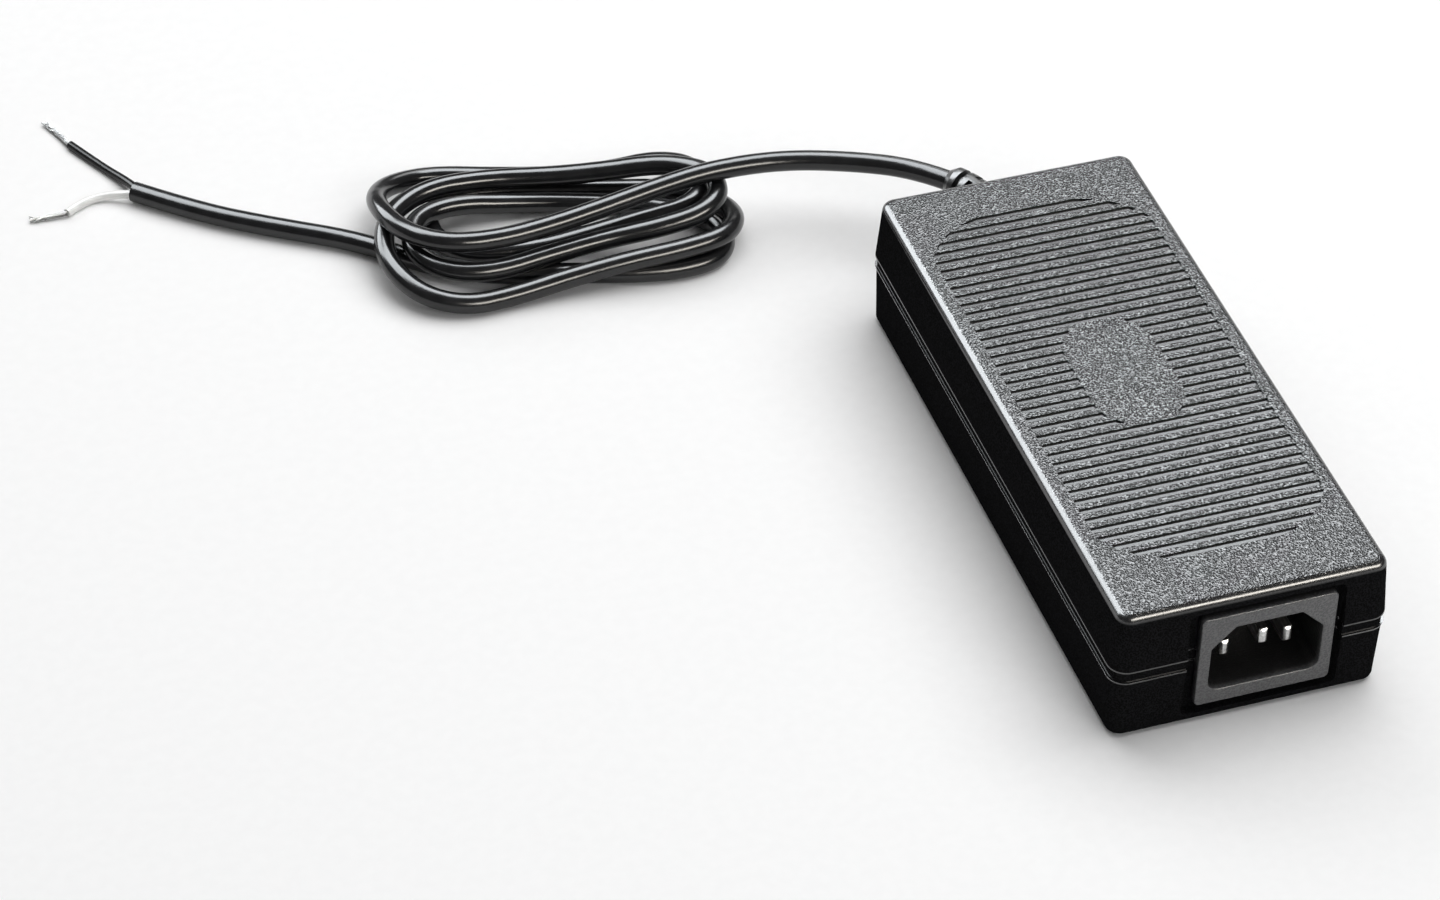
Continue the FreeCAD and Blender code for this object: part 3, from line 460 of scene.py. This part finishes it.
FINISHES: tuple[Finish, ...] = (
    Finish("case_plastic", Grain.SPARK_ERODED, (0.005, 0.005, 0.005), (0.012, 0.012, 0.013), 0.00036, 0.00012,
           (0.20, 0.26), gloss=0.43, sparkle=0.75, glossy_field=(0.0281, 0.0690),
           grain_by_height=SHELL_GRAIN, gloss_by_height=SHELL_GLOSS),
    # The inlet's colour is darkened behind its mouth as painted shade in the recess.
    Finish("inlet_plastic", Grain.SPARK_ERODED, (0.060, 0.060, 0.061), (0.105, 0.105, 0.108), 0.00044, 0.00008,
           (0.28, 0.36), gloss=0.60, mouth=-0.0712),
    Finish("soft_rubber", Grain.MOULDED, (0.005, 0.005, 0.005), (0.014, 0.014, 0.014), 0.0005, 0.00002,
           (0.24, 0.32), gloss=0.90),
    Finish("plated_pin", Grain.BRUSHED, (0.48, 0.48, 0.48), (0.80, 0.80, 0.79), 0.0007, 0.00003,
           (0.20, 0.34), metal=1.0, axis="Y"),
    Finish("lead_jacket", Grain.EXTRUDED, (0.006, 0.006, 0.0065), (0.012, 0.012, 0.013), 0.004, 0.00006,
           (0.18, 0.24), gloss=0.50),
    Finish("black_insulation", Grain.EXTRUDED, (0.006, 0.006, 0.006), (0.013, 0.013, 0.013), 0.003, 0.00004,
           (0.18, 0.26), gloss=0.22),
    Finish("white_insulation", Grain.EXTRUDED, (0.74, 0.74, 0.72), (0.84, 0.84, 0.82), 0.003, 0.00004,
           (0.34, 0.44), gloss=0.45),
    Finish("green_insulation", Grain.EXTRUDED, (0.06, 0.34, 0.08), (0.14, 0.46, 0.15), 0.003, 0.00004,
           (0.32, 0.42), gloss=0.45),
    Finish("tinned_copper", Grain.BRUSHED, (0.16, 0.16, 0.16), (0.44, 0.44, 0.43), 0.0005, 0.000004,
           (0.34, 0.48), metal=1.0, axis="X"),
    Finish("board_laminate", Grain.LAMINATED, (0.27, 0.19, 0.08), (0.42, 0.32, 0.16), 0.0016, 0.00002,
           (0.45, 0.58), gloss=0.4),
    Finish("plated_steel", Grain.BRUSHED, (0.50, 0.50, 0.52), (0.68, 0.68, 0.70), 0.0003, 0.00001,
           (0.28, 0.42), metal=1.0, axis="X"),
    Finish("clear_film", Grain.EXTRUDED, (0.68, 0.65, 0.52), (0.80, 0.77, 0.66), 0.006, 0.00005,
           (0.12, 0.20), gloss=0.5, clear=0.45),
    Finish("black_package", Grain.MOULDED, (0.018, 0.018, 0.018), (0.046, 0.046, 0.046), 0.0004, 0.00002,
           (0.42, 0.56), gloss=0.4),
    Finish("grey_box", Grain.MOULDED, (0.38, 0.38, 0.40), (0.50, 0.50, 0.52), 0.0006, 0.00002,
           (0.36, 0.50), gloss=0.45),
    Finish("blue_coating", Grain.DIPPED, (0.05, 0.15, 0.42), (0.11, 0.25, 0.58), 0.0016, 0.00012,
           (0.18, 0.28), gloss=0.5, coat=0.3),
    Finish("green_ferrite", Grain.DIPPED, (0.06, 0.24, 0.12), (0.13, 0.36, 0.20), 0.0012, 0.00005,
           (0.38, 0.50), gloss=0.4),
    Finish("yellow_ferrite", Grain.DIPPED, (0.66, 0.56, 0.10), (0.82, 0.72, 0.20), 0.0012, 0.00005,
           (0.38, 0.50), gloss=0.4),
    Finish("grey_ferrite", Grain.MOULDED, (0.08, 0.08, 0.09), (0.15, 0.15, 0.16), 0.0005, 0.00003,
           (0.46, 0.60), gloss=0.45),
    Finish("enamelled_copper", Grain.WOUND, (0.30, 0.10, 0.03), (0.72, 0.34, 0.13), 0.0008, 0.0003,
           (0.22, 0.34), metal=0.85, axis="Z"),
    Finish("yellow_tape", Grain.WRAPPED, (0.74, 0.58, 0.08), (0.88, 0.74, 0.20), 0.004, 0.00006,
           (0.30, 0.42), gloss=0.5),
    Finish("capacitor_sleeve", Grain.EXTRUDED, (0.025, 0.030, 0.055), (0.05, 0.06, 0.10), 0.003, 0.00003,
           (0.20, 0.30), gloss=0.5),
    Finish("sheet_aluminium", Grain.BRUSHED, (0.60, 0.60, 0.61), (0.78, 0.78, 0.79), 0.0004, 0.000008,
           (0.26, 0.40), metal=1.0, axis="Y"),
)


@dataclass
class PaintShop:
    """Makes each finish once and hands it out by slot."""

    made: dict[str, bpy.types.Material] = field(default_factory=dict)

    def mix(self) -> None:
        """Make every finish in the list."""
        for finish in FINISHES:
            self.made[finish.slot] = finish.build()
            LOG.info("finish %s: %s", finish.slot, finish.grain.value)

    def dress(self, piece: bpy.types.Object, slot: str) -> None:
        """Give a piece one finish, and name its slot.

        Args:
            piece: a mesh or curve of the scene, not a CAD node.
            slot: the record's material slot.
        """
        piece.data.materials.clear()
        piece.data.materials.append(self.made[slot])


def placed(name: str, data: bpy.types.ID) -> bpy.types.Object:
    """Put new data into the scene as an object.

    Args:
        name: the object's name.
        data: its mesh, curve, lamp or camera.

    Returns:
        The object.
    """
    made = bpy.data.objects.new(name, data)
    bpy.context.collection.objects.link(made)
    return made


def flat_sheet(name: str, wide: float, high: float) -> bpy.types.Object:
    """Make one flat rectangle round the origin.

    Args:
        name: its name.
        wide: its width in metres.
        high: its height in metres.

    Returns:
        The sheet's object.
    """
    mesh = bpy.data.meshes.new(name)
    corners = [(x * wide / 2, y * high / 2, 0.0) for x, y in ((-1, -1), (1, -1), (1, 1), (-1, 1))]
    mesh.from_pydata(corners, [], [(0, 1, 2, 3)])
    return placed(name, mesh)


@dataclass(frozen=True)
class SoftLamp:
    """A soft lamp that lights the object and that no surface mirrors."""

    name: str
    place: Point
    wide: float
    high: float
    power: float
    aim: Point = (0.0, 0.05, 0.0)

    def build(self) -> None:
        """Hang the lamp."""
        light = bpy.data.lights.new(self.name, "AREA")
        light.shape = "RECTANGLE"
        light.size = self.wide
        light.size_y = self.high
        light.energy = self.power
        held = placed(self.name, light)
        held.location = self.place
        held.rotation_euler = (Vector(self.aim) - Vector(self.place)).to_track_quat("-Z", "Y").to_euler()
        held.visible_glossy = False
        LOG.info("lamp %s: %.1f W", self.name, self.power)


@dataclass(frozen=True)
class GlowCard:
    """A bright card that faces the object and that only glossy surfaces mirror."""

    name: str
    towards: Point
    far: float
    wide: float
    high: float
    strength: float
    tint: Colour
    lump: float = 0.5
    shade: float = 0.94

    def build(self) -> None:
        """Stand the card."""
        held = flat_sheet(self.name, self.wide, self.high)
        held.location = Vector(self.towards).normalized() * self.far
        held.rotation_euler = (-held.location).to_track_quat("-Z", "Y").to_euler()
        bench = Bench(self.name)
        glow = bench.node("ShaderNodeEmission")
        pale = tuple(self.shade * part for part in self.tint)
        bench.link(bench.tinted(bench.noise(self.lump, 1.0), pale, self.tint), glow.inputs["Color"])
        glow.inputs["Strength"].default_value = self.strength
        bench.link(glow.outputs["Emission"], bench.output.inputs["Surface"])
        held.data.materials.append(bench.material)
        held.visible_camera = False
        held.visible_diffuse = False
        held.visible_shadow = False
        LOG.info("card %s: strength %.1f", self.name, self.strength)


@dataclass
class Studio:
    """Pale floor, soft lamps, and the cards that the glossy black surfaces mirror."""

    floor_side: float = 8.0
    floor_colour: Colour = (0.92, 0.92, 0.92)
    floor_shade: float = 0.985
    floor_lump: float = 0.003
    floor_rough: Span = (0.75, 0.85)
    floor_gloss: float = 0.1
    world_strength: float = 0.12
    lamps: tuple[SoftLamp, ...] = (
        SoftLamp("top_softbox", (0.45, 0.30, 1.45), wide=1.8, high=1.6, power=24.4),
        SoftLamp("back_softbox", (-0.35, 1.35, 1.0), wide=1.4, high=0.8, power=7.8),
        SoftLamp("front_softbox", (0.35, -1.5, 1.1), wide=1.2, high=0.6, power=7.2))
    cards: tuple[GlowCard, ...] = (
        GlowCard("over_card", (-0.06, 0.46, 0.88), far=1.7, wide=2.3, high=1.0, strength=13.5,
                 tint=(0.93, 0.97, 1.0)),
        GlowCard("left_card", (-0.52, 0.72, 0.42), far=1.7, wide=0.9, high=0.9, strength=11.0,
                 tint=(0.93, 0.97, 1.0)),
        GlowCard("right_card", (0.45, 0.72, 0.50), far=1.8, wide=0.8, high=0.5, strength=3.5,
                 tint=(1.0, 1.0, 1.0)),
        GlowCard("front_strip", (0.33, -0.74, 0.53), far=1.7, wide=1.6, high=0.46, strength=17.0,
                 tint=(1.0, 0.95, 0.87)))

    def floor(self) -> None:
        """Lay the pale floor under the object."""
        sheet = flat_sheet("studio_floor", self.floor_side, self.floor_side)
        bench = Bench("floor_paper")
        shader = bench.node("ShaderNodeBsdfPrincipled")
        grain = bench.noise(self.floor_lump)
        pale = tuple(self.floor_shade * part for part in self.floor_colour)
        bench.link(bench.tinted(grain, pale, self.floor_colour), shader.inputs["Base Color"])
        bench.link(bench.between(grain, *self.floor_rough), shader.inputs["Roughness"])
        shader.inputs["Specular IOR Level"].default_value = self.floor_gloss
        bench.link(shader.outputs["BSDF"], bench.output.inputs["Surface"])
        sheet.data.materials.append(bench.material)
        LOG.info("stage: pale floor")

    def world(self) -> None:
        """Surround the object with an even pale light."""
        world = bpy.data.worlds.new("studio_air")
        bpy.context.scene.world = world
        world.use_nodes = True
        back = world.node_tree.nodes["Background"]
        back.inputs["Color"].default_value = (1.0, 1.0, 1.0, 1.0)
        back.inputs["Strength"].default_value = self.world_strength

    def build(self) -> None:
        """Build the floor and the air, then hang the lamps and stand the cards."""
        self.floor()
        self.world()
        for source in self.lamps + self.cards:
            source.build()


@dataclass
class Camera:
    """The photograph's view, fitted to the case's edges and the mains inlet."""

    place: Point = (-0.342158, -0.710927, 0.694797)
    turn: Point = (0.8517842, -0.0199021, -0.3233878)
    lens: float = 121.73
    sensor: float = 36.0

    def build(self) -> None:
        """Set up the camera."""
        data = bpy.data.cameras.new("photo_camera")
        data.lens = self.lens
        data.sensor_width = self.sensor
        data.dof.use_dof = False
        held = placed("photo_camera", data)
        held.location = self.place
        held.rotation_euler = self.turn
        bpy.context.scene.camera = held
        LOG.info("camera: lens %.1f mm", self.lens)


def round_curve(name: str, width: float, sides: int, steps: int) -> bpy.types.Curve:
    """Start a round curve that holds no spline yet.

    Args:
        name: its name.
        width: its thickness in metres, or 0 for a bare line.
        sides: how finely it is rounded.
        steps: how finely each stretch is divided.

    Returns:
        The curve.
    """
    data = bpy.data.curves.new(name, "CURVE")
    data.dimensions = "3D"
    data.resolution_u = steps
    data.bevel_depth = width / 2
    data.bevel_resolution = sides
    data.use_fill_caps = width > 0.0
    return data


def lay_spline(data: bpy.types.Curve, places: list[Vector] | tuple[Point, ...]) -> None:
    """Lay one smooth spline, open at both ends, along control points.

    Args:
        data: the curve that takes it.
        places: its control points.
    """
    spline = data.splines.new("NURBS")
    spline.points.add(len(places) - 1)
    for point, place in zip(spline.points, places):
        point.co = (*place, 1.0)
    spline.order_u = 3
    spline.use_endpoint_u = True


@dataclass
class SmoothRun:
    """A smooth round run along a route of control points."""

    name: str
    route: tuple[Point, ...]
    diameter: float
    sides: int = 8
    steps: int = 10

    def curve(self, bevel: bool = True) -> bpy.types.Object:
        """Lay one spline along the route.

        Args:
            bevel: whether it has its thickness.

        Returns:
            The curve object.
        """
        data = round_curve(self.name, self.diameter if bevel else 0.0, self.sides, self.steps)
        lay_spline(data, self.route)
        return placed(self.name, data)

    def centreline(self) -> list[Vector]:
        """Read the points of the route's smooth line.

        Returns:
            The points from the first end to the last.
        """
        guide = self.curve(bevel=False)
        bpy.context.view_layer.update()
        mesh = bpy.data.meshes.new_from_object(guide.evaluated_get(bpy.context.evaluated_depsgraph_get()))
        places = [vertex.co.copy() for vertex in mesh.vertices]
        bpy.data.meshes.remove(mesh)
        bpy.data.objects.remove(guide)
        return places


@dataclass
class StrandBundle:
    """The bared, tinned strands at a core's end, twisted at first and fraying further out."""

    name: str
    node: str
    route: tuple[Point, ...]
    inner_count: int = 6
    outer_count: int = 12
    inner_ring: float = 0.48
    wire: float = 0.00022
    bundle: float = 0.00056
    twist: float = 1.5
    taper: float = 0.25
    jitter: float = 0.1
    lift_range: Span = (-0.2, 1.0)
    full_reach: Span = (0.86, 1.0)
    short_reach: Span = (0.62, 0.8)
    short_every: int = 5
    fewest_points: int = 4
    fray: float = 0.0006
    fray_start: float = 0.25
    fray_power: float = 1.6
    sideways: float = 2.2
    upwards: float = 0.6
    lowest_share: float = 0.6
    seed: int = 3

    @property
    def count(self) -> int:
        """Give the number of strands, one in the middle and two rings round it."""
        return 1 + self.inner_count + self.outer_count

    def strand(self, line: list[Vector], index: int, rng: random.Random) -> list[Vector]:
        """Work out one strand of the bundle.

        Args:
            line: the points of the core's line.
            index: the strand's number, from the middle out.
            rng: what makes the strands differ a little.

        Returns:
            The strand's control points.
        """
        inner = index <= self.inner_count
        ring = 0.0 if index == 0 else (self.inner_ring if inner else 1.0)
        turn = math.tau * index / (self.inner_count if inner else self.outer_count)
        start = turn + rng.uniform(-self.jitter, self.jitter)
        lean = rng.uniform(-1.0, 1.0)
        lift = rng.uniform(*self.lift_range)
        reach = rng.uniform(*(self.full_reach if index % self.short_every else self.short_reach))
        end = len(line) - 1
        places = []
        for step in range(max(self.fewest_points, int(reach * end)) + 1):
            share = step / end
            ahead = (line[min(step + 1, end)] - line[max(step - 1, 0)]).normalized()
            side = ahead.cross(Vector((0.0, 0.0, 1.0))).normalized()
            up = side.cross(ahead).normalized()
            angle = start + self.twist * math.tau * share
            radius = ring * self.bundle * (1.0 - self.taper * share)
            spread = self.fray * max(0.0, share - self.fray_start) ** self.fray_power
            place = line[step] + side * (radius * math.cos(angle) + lean * spread * self.sideways)
            place = place + up * (radius * math.sin(angle) + lift * spread * self.upwards)
            place.z = max(place.z, self.wire * self.lowest_share)
            places.append(place)
        return places

    def wires(self) -> bpy.types.Object:
        """Lay the strands round the core's line.

        Returns:
            One curve object with a spline for each strand.
        """
        line = SmoothRun(self.name + "_guide", self.route, self.wire, steps=6).centreline()
        rng = random.Random(self.seed)
        data = round_curve(self.name, self.wire, sides=2, steps=3)
        for index in range(self.count):
            lay_spline(data, self.strand(line, index, rng))
        return placed(self.name, data)

    def build(self, shop: PaintShop) -> bpy.types.Object:
        """Make the bundle and put it in its place.

        Args:
            shop: the finishes.

        Returns:
            The bundle's object.
        """
        piece = self.wires()
        shop.dress(piece, "tinned_copper")
        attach(piece, "root")
        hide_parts(self.node)
        LOG.info("piece %s: %d strands", self.name, self.count)
        return piece


@dataclass
class OutputLead:
    """The black output lead: from the strain relief, round its loose coil, to two bared cores."""

    diameter: float = LEAD_DIAMETER
    core_diameter: float = 0.0020
    length: float = 0.902
    strain_relief_end: Point = (-0.00469, 0.09089, 0.0174)
    lead: tuple[Point, ...] = (
        strain_relief_end, (-0.01048, 0.09778, 0.0172), (-0.0230, 0.1049, 0.0168),
        (-0.0380, 0.1106, 0.0164), (-0.0540, 0.1118, 0.0162))
    first_turn: tuple[Point, ...] = (
        (-0.0665, 0.1108, 0.0152), (-0.0800, 0.1098, 0.0132), (-0.0930, 0.1082, 0.0122),
        (-0.1060, 0.1070, 0.0120), (-0.1175, 0.1084, 0.0124), (-0.1252, 0.1146, 0.0126),
        (-0.1282, 0.1248, 0.0116), (-0.1272, 0.1350, 0.0084), (-0.1208, 0.1418, 0.0054),
        (-0.1105, 0.1444, 0.0032), (-0.0980, 0.1412, LYING), (-0.0845, 0.1366, 0.0028),
        (-0.0720, 0.1326, 0.0046), (-0.0615, 0.1314, 0.0062), (-0.0540, 0.1264, 0.0069))
    second_turn: tuple[Point, ...] = (
        (-0.0532, 0.1176, 0.0071), (-0.0595, 0.1118, 0.0070), (-0.0700, 0.1116, 0.0062),
        (-0.0820, 0.1124, 0.0040), (-0.0930, 0.1128, LYING), (-0.1030, 0.1136, LYING),
        (-0.1115, 0.1162, LYING), (-0.1164, 0.1232, LYING), (-0.1160, 0.1320, LYING),
        (-0.1080, 0.1368, LYING), (-0.0980, 0.1360, LYING), (-0.0860, 0.1324, LYING),
        (-0.0730, 0.1286, LYING))
    third_turn: tuple[Point, ...] = (
        (-0.0615, 0.1256, LYING), (-0.0534, 0.1206, LYING), (-0.0496, 0.1130, 0.0036),
        (-0.0502, 0.1052, 0.0060), (-0.0554, 0.0988, 0.0072), (-0.0660, 0.0972, 0.0072),
        (-0.0790, 0.0978, 0.0063), (-0.0920, 0.0986, 0.0042), (-0.1050, 0.0980, 0.0026),
        (-0.1160, 0.0976, 0.0026), (-0.1248, 0.1020, 0.0040), (-0.1294, 0.1098, 0.0060),
        (-0.1298, 0.1190, 0.0072), (-0.1254, 0.1284, 0.0078), (-0.1150, 0.1344, 0.0080),
        (-0.1010, 0.1346, 0.0074), (-0.0860, 0.1310, 0.0074), (-0.0740, 0.1276, 0.0088))
    fourth_turn: tuple[Point, ...] = (
        (-0.0660, 0.1254, 0.0102), (-0.0588, 0.1226, 0.0108), (-0.0528, 0.1172, 0.0114),
        (-0.0528, 0.1090, 0.0116), (-0.0588, 0.1034, 0.0112), (-0.0690, 0.1036, 0.0094),
        (-0.0810, 0.1056, 0.0074), (-0.0940, 0.1052, 0.0064), (-0.1065, 0.1032, 0.0062),
        (-0.1166, 0.1050, 0.0064), (-0.1228, 0.1114, 0.0070), (-0.1234, 0.1198, 0.0070),
        (-0.1188, 0.1268, 0.0068), (-0.1095, 0.1294, 0.0060), (-0.0975, 0.1294, 0.0034))
    last_turn: tuple[Point, ...] = (
        (-0.0850, 0.1274, LYING), (-0.0730, 0.1232, LYING), (-0.0625, 0.1182, LYING),
        (-0.0548, 0.1120, LYING), (-0.0526, 0.1044, LYING), (-0.0564, 0.0978, LYING),
        (-0.0650, 0.0962, LYING), (-0.0760, 0.0978, LYING), (-0.0870, 0.1012, LYING),
        (-0.0980, 0.1044, LYING), (-0.1100, 0.1080, LYING), (-0.1210, 0.1152, LYING))
    tail: tuple[Point, ...] = (
        (-0.1330, 0.1273, LYING), (-0.1500, 0.1378, LYING), (-0.1650, 0.1482, LYING),
        (-0.1773, 0.1599, LYING))
    black_core: tuple[Point, ...] = (
        (-0.1765, 0.1607, LYING), (-0.1776, 0.1643, 0.0018), (-0.1808, 0.1708, 0.0010),
        (-0.1842, 0.1772, 0.00105), (-0.1871, 0.1830, 0.0010))
    white_core: tuple[Point, ...] = (
        (-0.1781, 0.15907, LYING), (-0.1814, 0.1609, 0.0017), (-0.1854, 0.1619, 0.0010),
        (-0.1892, 0.1610, 0.00105), (-0.1934, 0.1583, 0.0010))
    black_end: tuple[Point, ...] = (
        (-0.1871, 0.1830, 0.0010), (-0.1890, 0.1891, 0.0008), (-0.1915, 0.1945, 0.00055))
    white_end: tuple[Point, ...] = (
        (-0.1934, 0.1583, 0.0010), (-0.1983, 0.1582, 0.0008), (-0.2029, 0.1587, 0.00055))

    def jacket(self, shop: PaintShop) -> bpy.types.Object:
        """Lay the jacketed lead, with its coil, as one smooth run.

        Args:
            shop: the finishes.

        Returns:
            The lead's curve object.
        """
        route = (self.lead + self.first_turn + self.second_turn + self.third_turn + self.fourth_turn
                 + self.last_turn + self.tail)
        piece = SmoothRun("output_lead_jacket", route, self.diameter, sides=10).curve()
        shop.dress(piece, "lead_jacket")
        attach(piece, "root")
        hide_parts("output_lead", "output_coil", "output_tail")
        LOG.info("piece %s: %d points", piece.name, len(route))
        return piece

    def core(self, shop: PaintShop, name: str, node: str, route: tuple[Point, ...],
             slot: str) -> bpy.types.Object:
        """Lay one insulated core out of the jacket's end.

        Args:
            shop: the finishes.
            name: the piece's name.
            node: the CAD node that it stands for.
            route: its control points.
            slot: its finish.

        Returns:
            The core's curve object.
        """
        piece = SmoothRun(name, route, self.core_diameter).curve()
        shop.dress(piece, slot)
        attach(piece, "root")
        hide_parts(node)
        LOG.info("piece %s", name)
        return piece

    def build(self, shop: PaintShop) -> None:
        """Args:
            shop: the finishes.
        """
        run = self.jacket(shop)
        ends = [
            self.core(shop, "black_core_insulation", "black_core", self.black_core, "black_insulation"),
            self.core(shop, "white_core_insulation", "white_core", self.white_core, "white_insulation"),
            StrandBundle("black_core_strands", "black_strands", self.black_end, seed=5).build(shop),
            StrandBundle("white_core_strands", "white_strands", self.white_end, fray=0.0005,
                         seed=11).build(shop),
        ]


def even_shading(held: bpy.types.Object) -> None:
    """Let the broad faces shade flat, so that only the rounded edges turn the light.

    Args:
        held: the piece.
    """
    even = held.modifiers.new("even_shading", "WEIGHTED_NORMAL")
    even.mode = "FACE_AREA"
    even.weight = SHADING_WEIGHT


@dataclass
class ShellMoulding:
    """One half of the case, with the small rounded edges that its mould leaves."""

    name: str
    node: str
    slot: str
    outer_edge: float = 0.00034
    groove_edge: float = 0.00022
    inner_half: Span = (0.0274, 0.0690)
    inner_roof: float = 0.0300
    inner_floor: float = 0.0030
    roof: float = 0.0326
    field_half: Span = (0.0285, 0.0600)
    sharp: float = math.radians(26.0)
    same_place: float = 0.000003
    same_plane: float = math.radians(0.5)
    roundness: float = 0.6

    def is_hidden(self, place: Vector) -> bool:
        """Tell whether a place lies inside the closed case, where no rounding is seen."""
        return (abs(place.x) < self.inner_half[0] and abs(place.y) < self.inner_half[1]
                and self.inner_floor < place.z < self.inner_roof)

    def is_groove(self, place: Vector) -> bool:
        """Tell whether a place lies in the grooved field of the top."""
        return abs(place.x) < self.field_half[0] and abs(place.y) < self.field_half[1] and place.z > self.roof

    def round_over(self, bm: bmesh.types.BMesh, edges: list[bmesh.types.BMEdge], width: float) -> None:
        """Round a set of edges.

        Args:
            bm: the shell's mesh.
            edges: the sharp edges.
            width: the width of the rounding in metres.
        """
        bmesh.ops.bevel(bm, geom=edges, offset=width, offset_type="OFFSET", segments=EDGE_STEPS,
                        profile=self.roundness, affect="EDGES", clamp_overlap=True, loop_slide=True)

    def sharp_edges(self, bm: bmesh.types.BMesh, groove: bool) -> list[bmesh.types.BMEdge]:
        """Find the sharp edges that are seen, in the grooved field or outside it.

        Args:
            bm: the shell's mesh.
            groove: whether to take the grooves' edges or the others.

        Returns:
            The edges.
        """
        found = []
        for edge in bm.edges:
            if len(edge.link_faces) != 2 or edge.calc_face_angle(0.0) < self.sharp:
                continue
            middle = (edge.verts[0].co + edge.verts[1].co) / 2
            if not self.is_hidden(middle) and self.is_groove(middle) == groove:
                found.append(edge)
        return found

    def mould(self) -> bpy.types.Object:
        """Make the shell's mesh from the CAD form.

        Returns:
            The shell's object.
        """
        bm = bmesh.new()
        bm.from_mesh(frame["nodes"][self.node].data)
        bmesh.ops.remove_doubles(bm, verts=bm.verts[:], dist=self.same_place)
        bmesh.ops.dissolve_limit(bm, angle_limit=self.same_plane, verts=bm.verts[:], edges=bm.edges[:])
        self.round_over(bm, self.sharp_edges(bm, True), self.groove_edge)
        self.round_over(bm, self.sharp_edges(bm, False), self.outer_edge)
        for face in bm.faces:
            face.smooth = True
        for edge in bm.edges:
            edge.smooth = True
        mesh = bpy.data.meshes.new(self.name)
        bm.to_mesh(mesh)
        bm.free()
        made = placed(self.name, mesh)
        even_shading(made)
        return made

    def build(self, shop: PaintShop) -> None:
        """Make the shell and put it in its place.

        Args:
            shop: the finishes.
        """
        piece = self.mould()
        shop.dress(piece, self.slot)
        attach(piece, "root")
        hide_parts(self.node)
        LOG.info("piece %s: %d faces", self.name, len(piece.data.polygons))


@dataclass
class CadDresser:
    """Gives the CAD nodes that stay their finishes and their small rounded edges."""

    edges: dict[str, float] = field(default_factory=lambda: {
        "inlet_body": 0.0003, "line_pin": 0.0002, "earth_pin": 0.0002,
        "neutral_pin": 0.0002, "strain_relief": 0.00018, "rubber_feet": 0.0003})
    same_place: float = 0.000002
    same_plane: float = math.radians(0.6)
    sharp: float = math.radians(32.0)

    def soften(self, held: bpy.types.Object, width: float) -> None:
        """Round a CAD node's sharp edges a little, as a mould leaves them.

        Args:
            held: the node's object.
            width: the width of the rounding in metres.
        """
        for polygon in held.data.polygons:
            polygon.use_smooth = True
        weld = held.modifiers.new("weld", "WELD")
        weld.merge_threshold = self.same_place
        flat = held.modifiers.new("flat_faces", "DECIMATE")
        flat.decimate_type = "DISSOLVE"
        flat.angle_limit = self.same_plane
        round_over = held.modifiers.new("round_over", "BEVEL")
        round_over.width = width
        round_over.segments = EDGE_STEPS
        round_over.limit_method = "ANGLE"
        round_over.angle_limit = self.sharp
        even_shading(held)

    def build(self, shop: PaintShop) -> None:
        """Dress every CAD node.

        Args:
            shop: the finishes.
        """
        for part in frame["record"]["subparts"]:
            held = frame["nodes"][part["node"]]
            held.data.materials.clear()
            held.data.materials.append(shop.made[part["material_slot"]])
            if part["node"] in self.edges:
                self.soften(held, self.edges[part["node"]])
            LOG.info("node %s: %s", part["node"], part["material_slot"])


def main() -> None:
    """Build the studio, the lead and the finishes in order."""
    logging.basicConfig(level=logging.INFO, format="%(message)s")
    bpy.context.scene.view_settings.view_transform = "Standard"
    shop = PaintShop()
    shop.mix()
    Studio().build()
    Camera().build()
    OutputLead().build(shop)
    ShellMoulding("top_shell", "top_case", "case_plastic").build(shop)
    ShellMoulding("bottom_shell", "bottom_case", "case_plastic").build(shop)
    CadDresser().build(shop)


if __name__ == "__main__":
    main()
